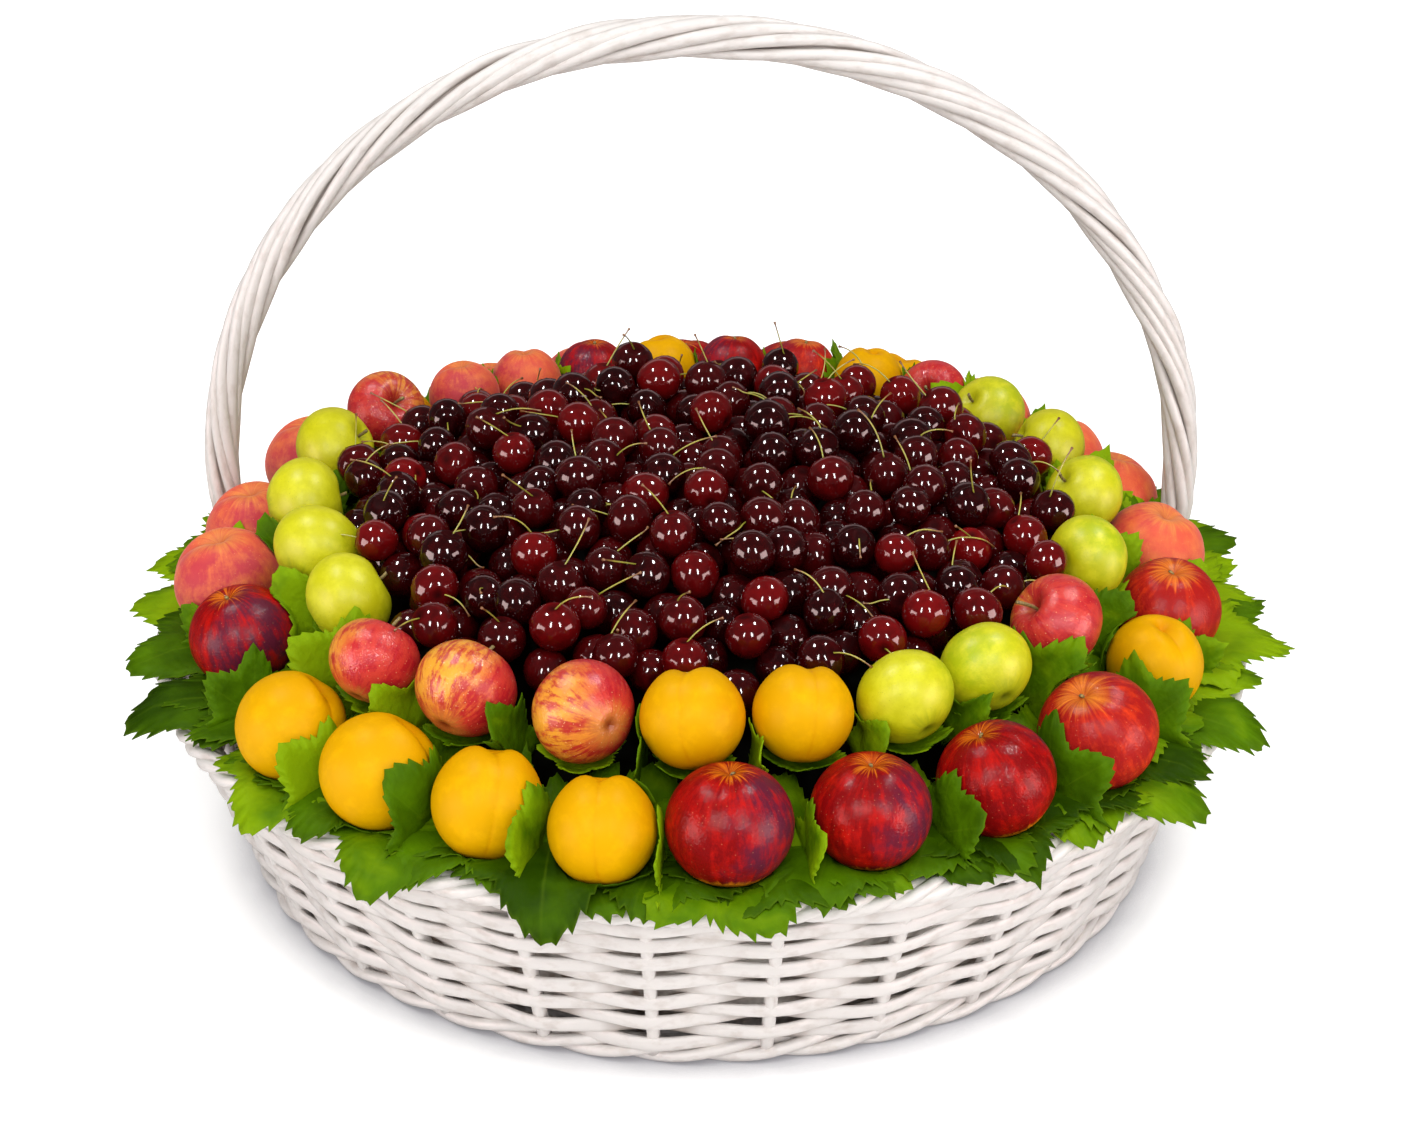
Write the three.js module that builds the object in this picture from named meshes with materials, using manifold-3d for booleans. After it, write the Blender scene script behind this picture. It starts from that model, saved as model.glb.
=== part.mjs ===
// A round basket woven from white painted willow, with a twisted bow handle. It is filled level and
// heaped: an outer and an inner ring of large fruit round a dome of cherries, with vine leaves
// spread over the rim. Millimetres, +Z up, the floor at z = 0 and the basket's axis on Z. Azimuths
// are degrees from the front (-Y), positive towards +X.

import * as THREE from 'three';
import { mergeVertices } from 'three/addons/utils/BufferGeometryUtils.js';
import Module from 'manifold-3d';

const wasm = await Module();
wasm.setup();

// Basket. The wall's outer radius grows with height as FOOT_RADIUS + FLARE z + FLARE_CURVE z^2.
const FOOT_RADIUS = 267;
const FLARE = 0.314;
const FLARE_CURVE = 0.00032;
const WALL_THICKNESS = 16;
const ROUND_SEGMENTS = 48;
const FOOT_HEIGHT = 13;
const WALL_TOP = 116;
const RIM_TOP = 130;
const RIM_INNER = 301;
const RIM_BULGE = 6;
const BASE_THICKNESS = 5;
const FIT_GAP = 0.4;

// Bow handle: half an ellipse on two legs that tilt inwards below the rim.
const HANDLE_REACH = 288;
const HANDLE_RISE = 270;
const HANDLE_SPRING = 182;
const HANDLE_Y = 78;
const HANDLE_SKEW = -0.014;
const HANDLE_RADIUS = 12.2;
const LEG_RADIUS = 9.4;
const LEG_TOP = 160;
const LEG_END = 84;
const LEG_TILT = 0.46;
const HANDLE_SIDES = 10;
const HANDLE_STEPS = 44;

// Rings of large fruit stand on a seat whose height tips from back to front and rises at the sides.
const OUTER_SEAT = { height: 124, frontLift: 0, sideLift: 4 };
const INNER_SEAT = { height: 162, frontLift: 2, sideLift: 10 };

// Height over width of each kind of fruit, with its colour and gloss.
const FRUIT_SIDES = 8;
const FRUIT_ROWS = 5;
const KINDS = {
  nectarine: { squash: 0.96, color: '#9c2020', roughness: 0.35 },
  peach: { squash: 0.94, color: '#d9553f', roughness: 0.6 },
  yellow_plum: { squash: 0.98, color: '#f2b705', roughness: 0.45 },
  green_pippin: { squash: 0.88, color: '#bccf1f', roughness: 0.4 },
  red_pippin: { squash: 0.9, color: '#cf4038', roughness: 0.4 },
};

// Kind, azimuth in degrees, distance from the basket's axis and width in mm, clockwise from the
// front left.
const OUTER_FRUIT = [
  ['yellow_plum', -50, 282, 60], ['yellow_plum', -36, 281, 62], ['yellow_plum', -23, 276, 60],
  ['yellow_plum', -10, 282, 58], ['nectarine', 3, 278, 65], ['nectarine', 18, 277, 62],
  ['nectarine', 33, 278, 62], ['nectarine', 48, 281, 64], ['yellow_plum', 66, 273, 55],
  ['nectarine', 79, 270, 60], ['peach', 94, 266, 62], ['peach', 111, 267, 60],
  ['peach', 124, 270, 60], ['peach', 139, 281, 60], ['yellow_plum', 153, 281, 60],
  ['nectarine', 168, 281, 60], ['nectarine', -178, 281, 60], ['peach', -164, 281, 60],
  ['peach', -150, 281, 60], ['yellow_plum', -135, 281, 60], ['peach', -121, 282, 62],
  ['peach', -100, 268, 62], ['peach', -86, 272, 64], ['nectarine', -72, 268, 60],
];
const INNER_FRUIT = [
  ['red_pippin', -45, 242, 49], ['red_pippin', -31, 235, 54], ['red_pippin', -15, 231, 54],
  ['yellow_plum', -1, 232, 54], ['yellow_plum', 13, 232, 52], ['green_pippin', 27, 232, 52],
  ['green_pippin', 40, 232, 50], ['red_pippin', 55, 233, 52], ['green_pippin', 75, 224, 48],
  ['green_pippin', 96, 225, 48], ['green_pippin', 114, 231, 48], ['green_pippin', 130, 234, 48],
  ['red_pippin', 142, 240, 44], ['yellow_plum', 153, 238, 44], ['nectarine', 164, 238, 45],
  ['nectarine', 175, 238, 45], ['yellow_plum', -174, 238, 44], ['nectarine', -163, 238, 45],
  ['peach', -152, 238, 45], ['peach', -141, 238, 45], ['red_pippin', -128, 249, 49],
  ['green_pippin', -112, 238, 51], ['green_pippin', -93, 230, 51], ['green_pippin', -77, 220, 52],
  ['green_pippin', -61, 219, 51],
];

// Heap of cherries: their centres lie on a dome that falls by DOME_DROP from its middle to its edge.
const CHERRY_WIDTH = 24.5;
const CHERRY_SPREAD = 0.65;
const CHERRY_PITCH = 27;
const CHERRY_SINK = -1;
const DOME_RADIUS = 191;
const DOME_TOP = 231;
const DOME_DROP = 26;
const DOME_ROUGHNESS = 2;
const CORE_GAP = 6;
const CORE_TOP_RADIUS = 184;
const CORE_SEGMENTS = 20;
const GOLDEN_RATIO = (1 + Math.sqrt(5)) / 2;

// Vine leaves: a ragged skirt over the rim and one pointed lobe up between each two outer fruits.
const LEAF_THICKNESS = 1.6;
const SKIRT_INNER = 302.5;
const SKIRT_INNER_Z = 132.6;
const SKIRT_OUTER_Z = 132;
const SKIRT_WAVE = 2;
const SKIRT_WAVES = 7;
const SKIRT_DROOP = 5;
const SKIRT_SHORT = 320;
const SKIRT_REACH = 24;
const LEAF_TEETH = [1, 0.4, 0.7, 0.1, 0.6, 0.3];
const LOBE_RADIUS = 304;
const LOBE_HALF_WIDTH = 9;
const LOBE_HEIGHT = 38;
const LOBE_LEAN = -8;

function seededRandom(seed) {
  let state = seed;
  return () => {
    state = (state * 1664525 + 1013904223) % 4294967296;
    return state / 4294967296;
  };
}

function wallRadius(z) {
  return FOOT_RADIUS + FLARE * z + FLARE_CURVE * z * z;
}

function onCircle(radius, azimuth, z) {
  const angle = THREE.MathUtils.degToRad(azimuth);
  return new THREE.Vector3(radius * Math.sin(angle), -radius * Math.cos(angle), z);
}

// Solids for cutting and joining

function toSolid(geometry) {
  const bare = geometry.clone();
  bare.deleteAttribute('normal');
  bare.deleteAttribute('uv');
  const merged = mergeVertices(bare, 1e-3);
  const vertProperties = new Float32Array(merged.attributes.position.array);
  const triVerts = new Uint32Array(merged.index.array);
  return new wasm.Manifold(new wasm.Mesh({ numProp: 3, vertProperties, triVerts }));
}

function toGeometry(solid) {
  const mesh = solid.getMesh();
  const geometry = new THREE.BufferGeometry();
  geometry.setAttribute('position', new THREE.BufferAttribute(mesh.vertProperties, 3));
  geometry.setIndex(new THREE.BufferAttribute(mesh.triVerts, 1));
  geometry.computeVertexNormals();
  return geometry;
}

// Turns a closed outline of [radius, z] pairs, counterclockwise seen with z up, about the Z axis.
function turned(outline, segments) {
  const points = outline.map(([radius, z]) => new THREE.Vector2(radius, z));
  return new THREE.LatheGeometry(points, segments).rotateX(Math.PI / 2);
}

function paint(color, roughness) {
  return new THREE.MeshStandardMaterial({ color, roughness, metalness: 0 });
}

function piece(name, geometry, material) {
  const mesh = new THREE.Mesh(geometry, material);
  mesh.name = name;
  return mesh;
}

// Basket

function paintedWillow() {
  return paint('#ece8e5', 0.55);
}

function wickerBase() {
  const radius = FOOT_RADIUS - WALL_THICKNESS - FIT_GAP;
  const disc = new THREE.CylinderGeometry(radius, radius, BASE_THICKNESS, ROUND_SEGMENTS);
  disc.rotateX(Math.PI / 2).translate(0, 0, BASE_THICKNESS / 2);
  return piece('wicker_base', disc, paintedWillow());
}

function wickerFoot() {
  const outer = wallRadius(FOOT_HEIGHT);
  const inner = FOOT_RADIUS - WALL_THICKNESS;
  const rounding = FOOT_HEIGHT / 3;
  const outline = [
    [inner, 0], [outer - rounding, 0], [outer, rounding], [outer, FOOT_HEIGHT - rounding],
    [outer - rounding / 2, FOOT_HEIGHT], [inner, FOOT_HEIGHT], [inner, 0],
  ];
  return piece('wicker_foot', turned(outline, ROUND_SEGMENTS), paintedWillow());
}

function wickerWall() {
  const low = FOOT_HEIGHT + FIT_GAP;
  const rows = 2;
  const outside = [];
  const inside = [];
  for (let row = 0; row <= rows; row += 1) {
    const z = low + (WALL_TOP - low) * (row / rows);
    outside.push([wallRadius(z), z]);
    inside.unshift([wallRadius(z) - WALL_THICKNESS, z]);
  }
  const outline = [...outside, ...inside, outside[0]];
  return piece('wicker_wall', turned(outline, ROUND_SEGMENTS), paintedWillow());
}

function wickerRim() {
  const low = WALL_TOP + FIT_GAP;
  const middle = (low + RIM_TOP) / 2;
  const outer = wallRadius(middle) + RIM_BULGE;
  const bevel = RIM_BULGE / 2;
  const foot = wallRadius(low) - WALL_THICKNESS + bevel;
  const outline = [
    [foot, low], [outer - bevel, low], [outer, middle], [outer - bevel, RIM_TOP - bevel],
    [outer - 2 * bevel, RIM_TOP], [RIM_INNER + bevel, RIM_TOP], [RIM_INNER, RIM_TOP - bevel],
    [foot, low],
  ];
  return piece('wicker_rim', turned(outline, ROUND_SEGMENTS), paintedWillow());
}

// Bow handle

function handlePoint(x, z) {
  return new THREE.Vector3(x, HANDLE_Y + HANDLE_SKEW * x, z);
}

function handlePath(legEnd) {
  const left = [];
  const legSteps = 3;
  for (let step = 0; step <= legSteps; step += 1) {
    const z = legEnd + ((LEG_TOP - legEnd) * step) / legSteps;
    left.push(handlePoint(-HANDLE_REACH + LEG_TILT * (LEG_TOP - z), z));
  }
  const arch = [];
  const arcs = 16;
  for (let arc = 0; arc <= arcs; arc += 1) {
    const turn = (Math.PI * arc) / arcs;
    const x = -HANDLE_REACH * Math.cos(turn);
    arch.push(handlePoint(x, HANDLE_SPRING + HANDLE_RISE * Math.sin(turn)));
  }
  const right = left.map((point) => handlePoint(-point.x, point.z)).reverse();
  return new THREE.CatmullRomCurve3([...left, ...arch, ...right]);
}

// Bends an upright cylinder along the handle's path, thinner at the legs than over the arch.
function bentTube(path, extraRadius) {
  const tube = new THREE.CylinderGeometry(1, 1, 1, HANDLE_SIDES, HANDLE_STEPS);
  const corners = tube.attributes.position;
  const across = new THREE.Vector3(-HANDLE_SKEW, 1, 0).normalize();
  for (let index = 0; index < corners.count; index += 1) {
    const along = corners.getY(index) + 0.5;
    const centre = path.getPointAt(along);
    const outward = new THREE.Vector3().crossVectors(path.getTangentAt(along), across);
    const arch = Math.max(0, Math.sin(Math.PI * along));
    const radius = LEG_RADIUS + (HANDLE_RADIUS - LEG_RADIUS) * arch + extraRadius;
    centre.addScaledVector(outward.normalize(), radius * corners.getX(index));
    centre.addScaledVector(across, radius * corners.getZ(index));
    corners.setXYZ(index, centre.x, centre.y, centre.z);
  }
  return tube;
}

function bowHandle() {
  return piece('bow_handle', bentTube(handlePath(LEG_END), 0), paintedWillow());
}

// What a neighbour loses where the handle passes through it.
function handleWay() {
  return toSolid(bentTube(handlePath(LEG_END - FIT_GAP), FIT_GAP));
}

// Large fruit

function seatPoint(seat, azimuth, radius, height) {
  const angle = THREE.MathUtils.degToRad(azimuth);
  const lift = seat.frontLift * Math.cos(angle) + seat.sideLift * Math.sin(angle) ** 2;
  return onCircle(radius, azimuth, seat.height + lift + height / 2);
}

function fruitBall(width, squash) {
  const ball = new THREE.SphereGeometry(width / 2, FRUIT_SIDES, FRUIT_ROWS);
  return ball.rotateX(Math.PI / 2).scale(1, 1, squash);
}

function ringOfFruit(ringName, seat, fruits) {
  const counts = {};
  return fruits.map(([kind, azimuth, radius, width]) => {
    const { squash, color, roughness } = KINDS[kind];
    counts[kind] = (counts[kind] || 0) + 1;
    const name = `${ringName}_${kind}_${counts[kind]}`;
    const fruit = piece(name, fruitBall(width, squash), paint(color, roughness));
    fruit.position.copy(seatPoint(seat, azimuth, radius, width * squash));
    fruit.rotation.z = THREE.MathUtils.degToRad(azimuth);
    return fruit;
  });
}

// Cherries

function domeHeight(radius) {
  return DOME_TOP - DOME_DROP * (radius / DOME_RADIUS) ** 2;
}

// The filling stands clear of the wall, steps up under the two rings and carries the dome.
function heapCore() {
  const wallGap = WALL_THICKNESS + CORE_GAP;
  const low = BASE_THICKNESS + FIT_GAP;
  const side = [low, 35, 65, 95, 122].map((z) => [wallRadius(z) - wallGap, z]);
  const seats = [
    [286, 121.5], [262, 120.5], [247, 126], [232, 139], [224, 156], [212, 160], [190, 160],
    [CORE_TOP_RADIUS + 3, 172], [CORE_TOP_RADIUS, domeHeight(CORE_TOP_RADIUS) - CHERRY_SINK],
  ];
  const half = CORE_TOP_RADIUS / 2;
  const dome = [[half, domeHeight(half) - CHERRY_SINK], [0, DOME_TOP - CHERRY_SINK]];
  const outline = [[0, low], ...side, ...seats, ...dome];
  return toSolid(turned(outline, CORE_SEGMENTS));
}

function clearOfFruit(point, size) {
  return INNER_FRUIT.every(([kind, azimuth, radius, width]) => {
    const centre = seatPoint(INNER_SEAT, azimuth, radius, width * KINDS[kind].squash);
    return centre.distanceTo(point) > width / 2 + size + FIT_GAP;
  });
}

// Cherries in the even turns of a sunflower spiral, each pushed a little off its place, with a
// corner of its coarse ball up. One that would run into a large fruit is left out.
function cherries() {
  const random = seededRandom(11);
  const spread = () => 2 * random() - 1;
  const turnStep = (2 * Math.PI) / GOLDEN_RATIO;
  const spacing = CHERRY_PITCH * Math.sqrt(Math.sqrt(3) / (2 * Math.PI));
  const count = Math.floor((DOME_RADIUS / spacing) ** 2);
  const balls = [];
  for (let index = 0; index < count; index += 1) {
    const radius = spacing * Math.sqrt(index + 0.5);
    const turn = index * turnStep;
    const size = CHERRY_WIDTH / 2 + CHERRY_SPREAD * spread();
    const x = radius * Math.cos(turn) + spread();
    const y = radius * Math.sin(turn) + spread();
    const z = domeHeight(radius) + DOME_ROUGHNESS * spread();
    const ball = new THREE.IcosahedronGeometry(size).rotateX(Math.atan(1 / GOLDEN_RATIO));
    ball.rotateZ(Math.PI * random());
    if (clearOfFruit(new THREE.Vector3(x, y, z), size)) {
      balls.push(ball.translate(x, y, z));
    }
  }
  return balls;
}

function cherryHeap() {
  let heap = heapCore();
  for (const ball of cherries()) {
    heap = heap.add(toSolid(ball));
  }
  heap = heap.subtract(handleWay());
  return piece('cherry_heap', toGeometry(heap), paint('#4a0a12', 0.15));
}

// Vine leaves

// One ring of thin leaf, ragged at its outer edge: four edge loops joined into a closed strip.
function leafSkirt() {
  const perLeaf = LEAF_TEETH.length;
  const count = OUTER_FRUIT.length * perLeaf;
  const skirt = new THREE.TorusGeometry(1, 0.1, 4, count);
  const corners = skirt.attributes.position;
  for (let index = 0; index < corners.count; index += 1) {
    const step = index % (count + 1);
    const loop = Math.floor(index / (count + 1)) % 4;
    const azimuth = (360 * step) / count;
    const tooth = LEAF_TEETH[step % perLeaf];
    const wave = SKIRT_WAVE * Math.sin(THREE.MathUtils.degToRad(SKIRT_WAVES * azimuth));
    const outside = loop < 1 || loop > 2;
    const upper = loop < 2 ? 1 : -1;
    const radius = outside ? SKIRT_SHORT + SKIRT_REACH * tooth : SKIRT_INNER;
    const z = outside ? SKIRT_OUTER_Z + wave - SKIRT_DROOP * tooth : SKIRT_INNER_Z;
    const point = onCircle(radius, azimuth, z + (upper * LEAF_THICKNESS) / 2);
    corners.setXYZ(index, point.x, point.y, point.z);
  }
  return toSolid(skirt);
}

// A flat pointed blade that stands between two fruits, its foot in the skirt.
function leafLobe(azimuth) {
  const blade = new THREE.ConeGeometry(1, LOBE_HEIGHT, 4).rotateX(Math.PI / 2);
  blade.scale(LOBE_HALF_WIDTH, LEAF_THICKNESS, 1);
  blade.translate(0, 0, LOBE_HEIGHT / 2 - LEAF_THICKNESS / 2);
  blade.rotateX(THREE.MathUtils.degToRad(LOBE_LEAN));
  blade.rotateZ(THREE.MathUtils.degToRad(azimuth));
  const foot = onCircle(LOBE_RADIUS, azimuth, SKIRT_INNER_Z);
  return toSolid(blade.translate(foot.x, foot.y, foot.z));
}

function vineLeaves() {
  let leaves = leafSkirt();
  OUTER_FRUIT.forEach(([, azimuth], index) => {
    const [, nextAzimuth] = OUTER_FRUIT[(index + 1) % OUTER_FRUIT.length];
    const gap = (nextAzimuth - azimuth + 360) % 360;
    leaves = leaves.add(leafLobe(azimuth + gap / 2));
  });
  leaves = leaves.subtract(handleWay());
  return piece('vine_leaves', toGeometry(leaves), paint('#4f8f1c', 0.6));
}

const group = new THREE.Group();
group.add(wickerBase(), wickerFoot(), wickerWall(), wickerRim(), bowHandle());
group.add(...ringOfFruit('outer', OUTER_SEAT, OUTER_FRUIT));
group.add(...ringOfFruit('inner', INNER_SEAT, INNER_FRUIT));
group.add(cherryHeap(), vineLeaves());

export default group;
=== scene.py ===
"""A wicker basket heaped with cherries, inside two rings of larger fruit on vine leaves.

Laid out as an add-on and run as a script. Shapes are worked out in millimetres and
turned into metres when a piece is finished.
"""

import functools
import math
import random
from collections import namedtuple

import bmesh
import bpy
from mathutils import Matrix, Vector, noise


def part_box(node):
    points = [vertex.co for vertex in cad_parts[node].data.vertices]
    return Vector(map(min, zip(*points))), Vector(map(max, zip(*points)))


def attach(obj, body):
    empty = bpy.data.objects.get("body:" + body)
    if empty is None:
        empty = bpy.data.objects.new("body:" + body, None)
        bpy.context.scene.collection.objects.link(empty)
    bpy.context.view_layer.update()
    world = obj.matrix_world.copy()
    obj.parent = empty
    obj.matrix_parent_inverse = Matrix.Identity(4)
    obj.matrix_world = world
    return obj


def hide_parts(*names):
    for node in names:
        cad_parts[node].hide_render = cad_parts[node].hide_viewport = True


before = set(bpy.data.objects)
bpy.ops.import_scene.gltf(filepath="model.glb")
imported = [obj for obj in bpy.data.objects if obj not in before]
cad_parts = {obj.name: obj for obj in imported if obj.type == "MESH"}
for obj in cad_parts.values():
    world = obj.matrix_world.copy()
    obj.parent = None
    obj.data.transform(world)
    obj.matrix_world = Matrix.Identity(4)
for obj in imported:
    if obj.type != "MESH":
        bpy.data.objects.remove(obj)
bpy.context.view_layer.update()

bl_info = {
    "name": "Basket of Cherries",
    "version": (1, 0, 0),
    "blender": (4, 5, 0),
    "location": "3D View > Sidebar > Basket",
    "description": "Weaves the basket, fills it with fruit and cherries, and lays the vine leaves",
    "category": "Object",
}

MM = 0.001
TAU = 2 * math.pi
UP = Vector((0, 0, 1))


def linear(hex_colour):
    """An sRGB hex colour as the linear colour that Blender's nodes take."""
    parts = [int(hex_colour[i : i + 2], 16) / 255 for i in (1, 3, 5)]
    return tuple(c / 12.92 if c <= 0.04045 else ((c + 0.055) / 1.055) ** 2.4 for c in parts)


def smooth(low, high, value):
    """0 at low and 1 at high, with a soft step between. Low may be the larger."""
    t = min(max((value - low) / (high - low), 0), 1)
    return t * t * (3 - 2 * t)


def bell(value, width):
    """1 at zero, falling away to both sides."""
    return math.exp(-((value / width) ** 2))


def signed_power(value, exponent):
    """A power that keeps the sign. Below 1 it makes a round section boxy, and above 1 a wave pointed."""
    return math.copysign(abs(value) ** exponent, value)


# ---- The sizes and colours a user would change ----


def size_property(name, description, default):
    return bpy.props.FloatProperty(
        name=name, description=description, default=default, min=0, subtype="DISTANCE", unit="LENGTH"
    )


def colour_property(name, description, default):
    return bpy.props.FloatVectorProperty(
        name=name, description=description, default=linear(default), min=0, max=1, size=3, subtype="COLOR"
    )


class BasketSizes(bpy.types.PropertyGroup):
    rod: size_property("Weaving rod", "Height of the rods woven round the stakes", 0.0079)
    row: size_property("Row pitch", "Height from one woven row to the next", 0.0081)
    wave: size_property("Weave depth", "How far a rod swings out and in as it passes the stakes", 0.0047)
    handle_rod: size_property("Handle rod", "Thickness of each rod twisted into the handle", 0.0078)
    twist: size_property("Handle twist", "Length of handle for one full turn of its rods", 0.28)
    leaf: size_property("Leaf thickness", "Thickness of a vine leaf", 0.0006)


class CherrySizes(bpy.types.PropertyGroup):
    width: size_property("Cherry width", "Middle width of a cherry", 0.0256)
    reach: size_property("Heap reach", "Radius that the cherries fill", 0.21)
    stem: size_property("Stem length", "Middle length of a cherry stem", 0.031)
    stem_width: size_property("Stem width", "Thickness of a cherry stem", 0.00085)


class BasketColours(bpy.types.PropertyGroup):
    willow: colour_property("Painted willow", "White paint on the rods", "#d3cdc9")
    willow_shade: colour_property("Thin paint", "Where the paint is thin in the hollows", "#c3bab4")
    leaf: colour_property("Leaf", "Upper side of a vine leaf", "#4c7002")
    leaf_shade: colour_property("Dark leaf", "Darker patches of a leaf", "#264000")
    leaf_edge: colour_property("Leaf edge", "Thin pale edge and veins of a leaf", "#7c9a1c")


class FruitColours(bpy.types.PropertyGroup):
    # The dark cherry colour is also the painted shade of the cherries low in the heap.
    cherry_dark: colour_property("Dark cherry", "The ripest cherries", "#1e0102")
    cherry_bright: colour_property("Bright cherry", "The least ripe cherries", "#72080a")
    yellow: colour_property("Yellow plum", "Sunny side of the yellow fruit", "#d89d00")
    nectarine: colour_property("Nectarine", "Red of the nectarines", "#7e0709")
    peach: colour_property("Peach", "Coral of the peaches", "#d84c2e")
    green: colour_property("Green pippin", "Skin of the green apples", "#c2be08")
    red: colour_property("Red pippin", "Streaks of the red apples", "#b41a26")


# ---- Helpers for shapes ----

# Radius of a plain ring before it is bent to its place.
RING = 100


def as_shape(bm, recalc=True):
    """Keeps a bmesh as a plain mesh, to be added many times."""
    if recalc:
        bmesh.ops.recalc_face_normals(bm, faces=bm.faces)
    mesh = bpy.data.meshes.new("shape")
    bm.to_mesh(mesh)
    bm.free()
    return mesh


def start():
    """An empty bmesh with the two attributes that the materials read."""
    bm = bmesh.new()
    bm.verts.layers.float_vector.new("pattern")
    bm.verts.layers.float_vector.new("tone")
    return bm


def add_shape(bm, shape, place):
    """Adds a copy of a shape and returns its points. place() takes a point of the shape and gives its place
    in the basket and its pattern and tone values."""
    first = len(bm.verts)
    bm.from_mesh(shape)
    bm.verts.ensure_lookup_table()
    pattern, tone = (bm.verts.layers.float_vector[name] for name in ("pattern", "tone"))
    added = bm.verts[first:]
    for vert in added:
        vert.co, vert[pattern], vert[tone] = place(vert.co.copy())
    return added


def finish_piece(bm, name, materials, nodes, recalc=True):
    """Turns a bmesh in millimetres into a piece that rides on the basket and stands for its CAD nodes."""
    if recalc:
        bmesh.ops.recalc_face_normals(bm, faces=bm.faces)
    bmesh.ops.scale(bm, vec=(MM, MM, MM), verts=bm.verts)
    mesh = bpy.data.meshes.new(name)
    bm.to_mesh(mesh)
    bm.free()
    mesh.shade_smooth()
    for material in materials:
        mesh.materials.append(material)
    piece = bpy.data.objects.new(name, mesh)
    bpy.context.collection.objects.link(piece)
    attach(piece, "root")
    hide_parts(*nodes)
    return piece


def spin_round(bm, geom, steps):
    """Spins edges one full turn about the basket's middle line."""
    bmesh.ops.spin(bm, geom=geom, cent=(0, 0, 0), axis=UP, angle=TAU, steps=steps, use_merge=True)


def ring_shape(sides, steps):
    """A plain ring with a section of radius 1: one circle spun all the way round."""
    bm = bmesh.new()
    section = bmesh.ops.create_circle(bm, segments=sides, radius=1)["verts"]
    bmesh.ops.rotate(bm, cent=(0, 0, 0), matrix=Matrix.Rotation(math.pi / 2, 3, "X"), verts=section)
    bmesh.ops.translate(bm, vec=(RING, 0, 0), verts=section)
    spin_round(bm, list(bm.verts) + list(bm.edges), steps)
    return as_shape(bm)


def rod_shape(sides, cuts, tip=1.0):
    """A rod of radius 1 from height 0 to 1, with rings of points along it so that it can bend."""
    bm = bmesh.new()
    bmesh.ops.create_cone(bm, cap_ends=True, segments=sides, radius1=1, radius2=tip, depth=1)
    bmesh.ops.translate(bm, vec=(0, 0, 0.5), verts=bm.verts)
    along = [e for e in bm.edges if abs(e.verts[0].co.z - e.verts[1].co.z) > 0.5]
    bmesh.ops.subdivide_edges(bm, edges=along, cuts=cuts, use_grid_fill=True)
    return as_shape(bm)


def ring_point(azimuth, radius, height):
    """A point of the basket by azimuth from the front, in radians, radius and height."""
    return Vector((radius * math.sin(azimuth), -radius * math.cos(azimuth), height))


def unroll(co):
    """A plain ring's point by its azimuth and its place in the ring's section, outwards and up."""
    return math.atan2(co.x, -co.y), math.hypot(co.x, co.y) - RING, co.z


# ---- Helpers for materials ----


def rgba(value):
    """A colour with its alpha, from an sRGB hex colour or a linear one."""
    return (*(linear(value) if isinstance(value, str) else value[:3]), 1)


def add_node(tree, kind, inputs=None, stops=(), **settings):
    """Adds a shader node with its settings, its inputs and the stops of a ramp. An input is a value, a
    colour, a socket to link, or a node, which stands for its main output."""
    node = tree.nodes.new("ShaderNode" + kind)
    if kind == "Mix":
        node.data_type = "RGBA"
    for name, value in settings.items():
        setattr(node, name, value)
    for name, value in (inputs or {}).items():
        socket = node.inputs[name]
        if isinstance(value, bpy.types.Node):
            value = value.outputs[2 if value.bl_idname == "ShaderNodeMix" else 0]
        if isinstance(value, bpy.types.NodeSocket):
            tree.links.new(value, socket)
        else:
            socket.default_value = rgba(value) if socket.type == "RGBA" else value
    if stops:
        ramp = node.color_ramp.elements
        while len(ramp) < len(stops):
            ramp.new(0.5)
        for element, (position, value) in zip(ramp, stops):
            element.position, element.color = position, rgba(value)
    return node


def new_material(name, *attributes):
    """An empty node material, the call that adds a node to it, and the mesh's attributes of these names."""
    material = bpy.data.materials.new(name)
    material.use_nodes = True
    material.node_tree.nodes.clear()
    add = functools.partial(add_node, material.node_tree)
    return material, add, *(add("Attribute", attribute_name=read).outputs["Vector"] for read in attributes)


def finish_material(material, inputs):
    """Puts the shader at the end of a material and wires it to the output."""
    shader = add_node(material.node_tree, "BsdfPrincipled", inputs)
    add_node(material.node_tree, "OutputMaterial", {"Surface": shader})
    return material


# ---- The materials ----

WILLOW = "painted_willow_brushed"


def painted_willow(colours):
    """Willow rods, peeled and brushed with white paint: satin, with a fine lengthwise grain, and painted
    shade in the hollows, the bends behind the stakes and where the handle's rods meet."""
    material, add, where, tone = new_material(WILLOW, "pattern", "tone")
    # Patches of thinner paint, about 40 mm long and 6 mm across.
    patches = add("TexNoise", {"Vector": where, "Scale": 0.55, "Detail": 3.0, "Roughness": 0.55})
    paint = add("ValToRGB", {"Fac": patches}, [(0.28, colours.willow_shade), (0.5, colours.willow)])
    # Painted shade: the bends behind the stakes and the meeting lines of the handle's rods are painted
    # brown-grey.
    recess_shade = add("SeparateXYZ", {"Vector": tone}).outputs["X"]
    painted = add("Mix", {0: recess_shade, 6: paint, 7: "#9a8f87"})
    # Grain of the rods, drawn at 1 mm because the real 0.2 mm would not show.
    stretch = add("Mapping", {"Vector": where, "Scale": (0.35, 0.35, 5.0)})
    grain = add("TexNoise", {"Vector": stretch, "Scale": 1.0, "Detail": 4.0, "Roughness": 0.6})
    bump = add("Bump", {"Height": grain, "Strength": 0.35, "Distance": 0.0006})
    rough = add("MapRange", {"Value": grain, "To Min": 0.38, "To Max": 0.6})
    return finish_material(material, {"Base Color": painted, "Roughness": rough, "Normal": bump, "IOR": 1.48})


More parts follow.
